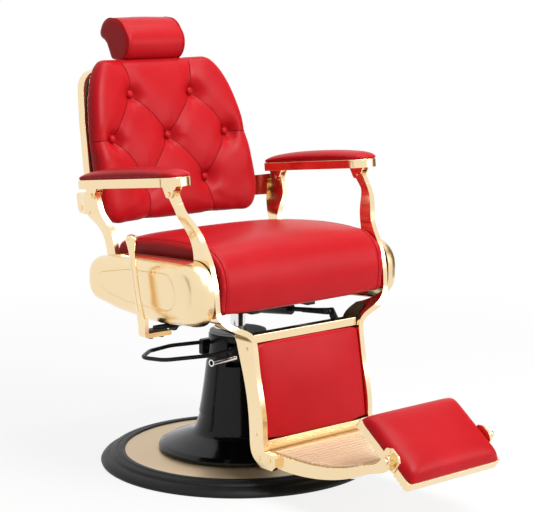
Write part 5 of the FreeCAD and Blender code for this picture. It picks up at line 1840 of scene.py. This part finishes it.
@dataclass
class ReclineGear(Assembly):
    """The recline lock under the seat and the long handle beside the cover.

    Attributes:
        stem: The handle's levels from its head down: the drop from its top, and its two half widths.
        core: The stem's centre line, from the handle's outermost face.
        joint: How far below the top the CAD handle's own foot takes over.
        facets: Faces round the stem.
    """

    body: str = "recline_lever"
    stem: tuple[Point, ...] = (
        (0.000, 0.0060, 0.0055), (0.002, 0.0112, 0.0100), (0.006, 0.0142, 0.0122), (0.012, 0.0152, 0.0128),
        (0.019, 0.0145, 0.0120), (0.028, 0.0118, 0.0100), (0.040, 0.0096, 0.0084), (0.060, 0.0084, 0.0070),
        (0.100, 0.0080, 0.0064), (0.150, 0.0098, 0.0062), (0.180, 0.0108, 0.0060),
    )
    core: float = 0.0145
    joint: float = 0.155
    facets: int = 28

    def handle(self) -> None:
        """The handle as a club-shaped stem, thick at its head, over the CAD handle's own foot."""
        node = "recline_handle"
        low, high = corners_of(node)
        lower = merged_copy(node, "handle_foot")
        tree = surface_tree(lower)
        x = low.x + self.core
        angles = [math.tau * i / self.facets for i in range(self.facets)]
        rows: list[list[Point]] = []
        for drop, wide, deep in self.stem:
            probe = high.z - max(drop, 0.006)
            hits = [tree.ray_cast(Vector((x, y, probe)), Vector((0, way, 0)), 1.0)[0]
                    for y, way in ((low.y - 0.1, 1.0), (high.y + 0.1, -1.0))]
            sides = [hit.y for hit in hits if hit is not None]
            middle = sum(sides) / max(1, len(sides))
            rows.append([(x + deep * math.cos(turn), middle + wide * math.sin(turn), high.z - drop)
                         for turn in angles])
        stem = lofted("handle_stem", rows)
        smooth_shaded(stem, ROUND_DEGREES)
        self.joined(stem, Finish.CAST_GOLD)
        with Opened(lower.data) as bm:
            cut = bmesh.ops.bisect_plane(bm, geom=list(bm.verts) + list(bm.edges) + list(bm.faces), dist=1e-6,
                                         plane_co=(0.0, 0.0, high.z - self.joint), plane_no=(0.0, 0.0, 1.0),
                                         clear_outer=True)
            rim = [item for item in cut["geom_cut"] if isinstance(item, bmesh.types.BMEdge)]
            bmesh.ops.holes_fill(bm, edges=rim, sides=0)
        self.joined(edge_rounded(outward(lower), Edge.SOFT, 3), Finish.CAST_GOLD, node)

    def build(self) -> None:
        """Dresses the recline gear."""
        self.handle()
        self.skinned("recline_shaft", Finish.BLACK, Edge.FINE)
        Assembly("recline_cylinder").skinned("lock_cylinder", Finish.BLACK)
        Assembly("recline_rod").skinned("lock_rod", Finish.BLACK)


# The studio.

@dataclass
class Studio:
    """The pale floor, the white surround, the soft lamps and the camera.

    Attributes:
        camera_place: The camera's place in metres.
        tilt: How far below level it looks, in degrees.
        heading: Its turn about z, in degrees.
        lens: Its focal length.
        sensor: Its sensor's width.
        surround: The world's strength on matt surfaces.
        floor_half: Half the floor's side.
        floor_colour: The floor's grey.
        lamps: Each lamp's name, place, aim, width and height, and power in watts.
        cards: Each card's name, middle, width and height, and colour.
        card_aim: The point that every card faces.
    """

    camera_place: Point = (-2.6579, -3.1967, 1.2145)
    tilt: float = 9.46
    heading: float = -40.73
    lens: float = 113.51
    sensor: float = 36.0
    surround: float = 0.22
    floor_half: float = 9.0
    floor_colour: Colour = (0.86, 0.86, 0.86)
    lamps: tuple[tuple[str, Point, Point, Flat, float], ...] = (
        ("key", (0.2, -2.3, 3.0), (0.0, 0.0, 0.6), (1.5, 1.5), 92.0),
        ("fill", (1.8, -2.9, 1.4), (0.0, -0.2, 0.5), (1.8, 1.4), 34.0),
        ("top", (0.4, -0.2, 3.2), (0.0, 0.0, 0.5), (2.0, 2.0), 48.0),
    )
    cards: tuple[tuple[str, Point, Flat, Colour], ...] = (
        ("card_right", (2.4, -0.4, 0.7), (1.6, 2.4), (0.22, 0.15, 0.08)),
        ("card_left", (-2.6, 1.4, 0.5), (0.5, 0.9), (0.5, 0.4, 0.27)),
    )
    card_aim: Point = (0.0, 0.0, 0.6)

    def camera(self) -> None:
        """Sets the camera at the photograph's angle."""
        data = bpy.data.cameras.new("view")
        data.sensor_width = self.sensor
        data.sensor_fit = "HORIZONTAL"
        data.lens = self.lens
        data.clip_end = 60.0
        obj = linked("view", data)
        obj.location = self.camera_place
        obj.rotation_euler = (math.radians(90.0 - self.tilt), 0.0, math.radians(self.heading))
        bpy.context.scene.camera = obj

    def world(self) -> None:
        """A surround that is white where it is seen or mirrored and gentler as light."""
        world = bpy.data.worlds.new("surround")
        world.use_nodes = True
        world.node_tree.nodes.clear()
        graph = NodeTree(world.node_tree)
        path = graph.node("ShaderNodeLightPath")
        seen = graph.out(path, "Is Camera Ray") + graph.out(path, "Is Transmission Ray")
        either = (seen + graph.out(path, "Is Glossy Ray")).clamped()
        strength = graph.node("ShaderNodeMix", {"data_type": "FLOAT"}, {"Factor": either, 2: self.surround, 3: 1.0})
        glow = graph.node("ShaderNodeBackground", None, {"Color": WHITE, "Strength": strength})
        graph.node("ShaderNodeOutputWorld", None, {0: glow})
        bpy.context.scene.world = world

    def floor(self) -> None:
        """A pale floor that keeps the chair's shadow and melts into the white surround."""
        half = self.floor_half
        plate = mesh_of("studio_floor", [(-half, -half, 0), (half, -half, 0), (half, half, 0), (-half, half, 0)],
                        [(0, 1, 2, 3)])
        graph = ShaderGraph("pale_floor")
        graph.surface(Base_Color=(*self.floor_colour, 1.0), Roughness=0.9, Specular_IOR_Level=0.1)
        glow = graph.node("ShaderNodeEmission", None, {"Color": WHITE, "Strength": 1.0})
        path = graph.node("ShaderNodeLightPath")
        glossy = graph.out(path, "Is Glossy Ray")
        spot = graph.node("ShaderNodeSeparateXYZ", None, {"Vector": graph.place})
        reach = (graph.out(spot, "X") ** 2 + graph.out(spot, "Y") ** 2) ** 0.5
        far = ((reach - 0.9) / 1.6).clamped()
        eye = (graph.out(path, "Is Camera Ray") + glossy).clamped()
        seen = (eye * (far * 0.14 + 0.86) + glossy * 0.35).clamped()
        blend = graph.node("ShaderNodeMixShader", None, {0: seen, 1: graph.shader, 2: glow})
        graph.feed(graph.end.inputs[0], blend)
        plate.data.materials.append(graph.material)

    def card(self, name: str, centre: Point, size: Flat, colour: Colour) -> None:
        """A matt card that only mirrors see, which gives the plating its darker bands.

        Args:
            name: The card's name.
            centre: Its middle.
            size: Its width and height.
            colour: Its colour.
        """
        way = (Vector(self.card_aim) - Vector(centre)).normalized()
        right = way.cross(Vector((0, 0, 1))).normalized()
        up = right.cross(way)
        corners = [Vector(centre) + right * sx * size[0] / 2 + up * sz * size[1] / 2
                   for sx, sz in ((-1, -1), (1, -1), (1, 1), (-1, 1))]
        card = mesh_of(name, corners, [(0, 1, 2, 3)])
        graph = ShaderGraph(name + "_paint")
        graph.surface(Base_Color=(*colour, 1.0), Roughness=1.0, Specular_IOR_Level=0.0)
        card.data.materials.append(graph.material)
        card.visible_camera = card.visible_diffuse = card.visible_shadow = False

    def lamp(self, name: str, place: Point, aim: Point, size: Flat, power: float) -> None:
        """A soft rectangular lamp.

        Args:
            name: The lamp's name.
            place: Where it hangs.
            aim: The point that it lights.
            size: Its width and height.
            power: Its power in watts.
        """
        data = bpy.data.lights.new(name, "AREA")
        data.shape = "RECTANGLE"
        data.size, data.size_y = size
        data.energy = power
        obj = linked(name, data)
        obj.location = place
        obj.rotation_euler = (Vector(aim) - Vector(place)).to_track_quat("-Z", "Y").to_euler()

    def build(self) -> None:
        """Sets up the studio."""
        bpy.context.scene.view_settings.view_transform = "Standard"
        self.world()
        self.camera()
        self.floor()
        for lamp in self.lamps:
            self.lamp(*lamp)
        for card in self.cards:
            self.card(*card)


def main() -> None:
    """Builds the studio and every sub-assembly in order."""
    logging.basicConfig(level=logging.INFO, format="%(name)s %(message)s")
    assemblies: list = [
        Studio(), Base(), PumpTower(), PumpLever(), SeatUnit(), SideCover(side=Side.RIGHT), SideCover(side=Side.LEFT),
        LegRest(), FootPad(), BackRest(), HeadRest(), ArmRest(), ArmRest(body="armrest_left", side=Side.LEFT),
        ReclineGear(),
    ]
    for assembly in assemblies:
        log.info("building %s", type(assembly).__name__)
        assembly.build()


if __name__ == "__main__":
    main()
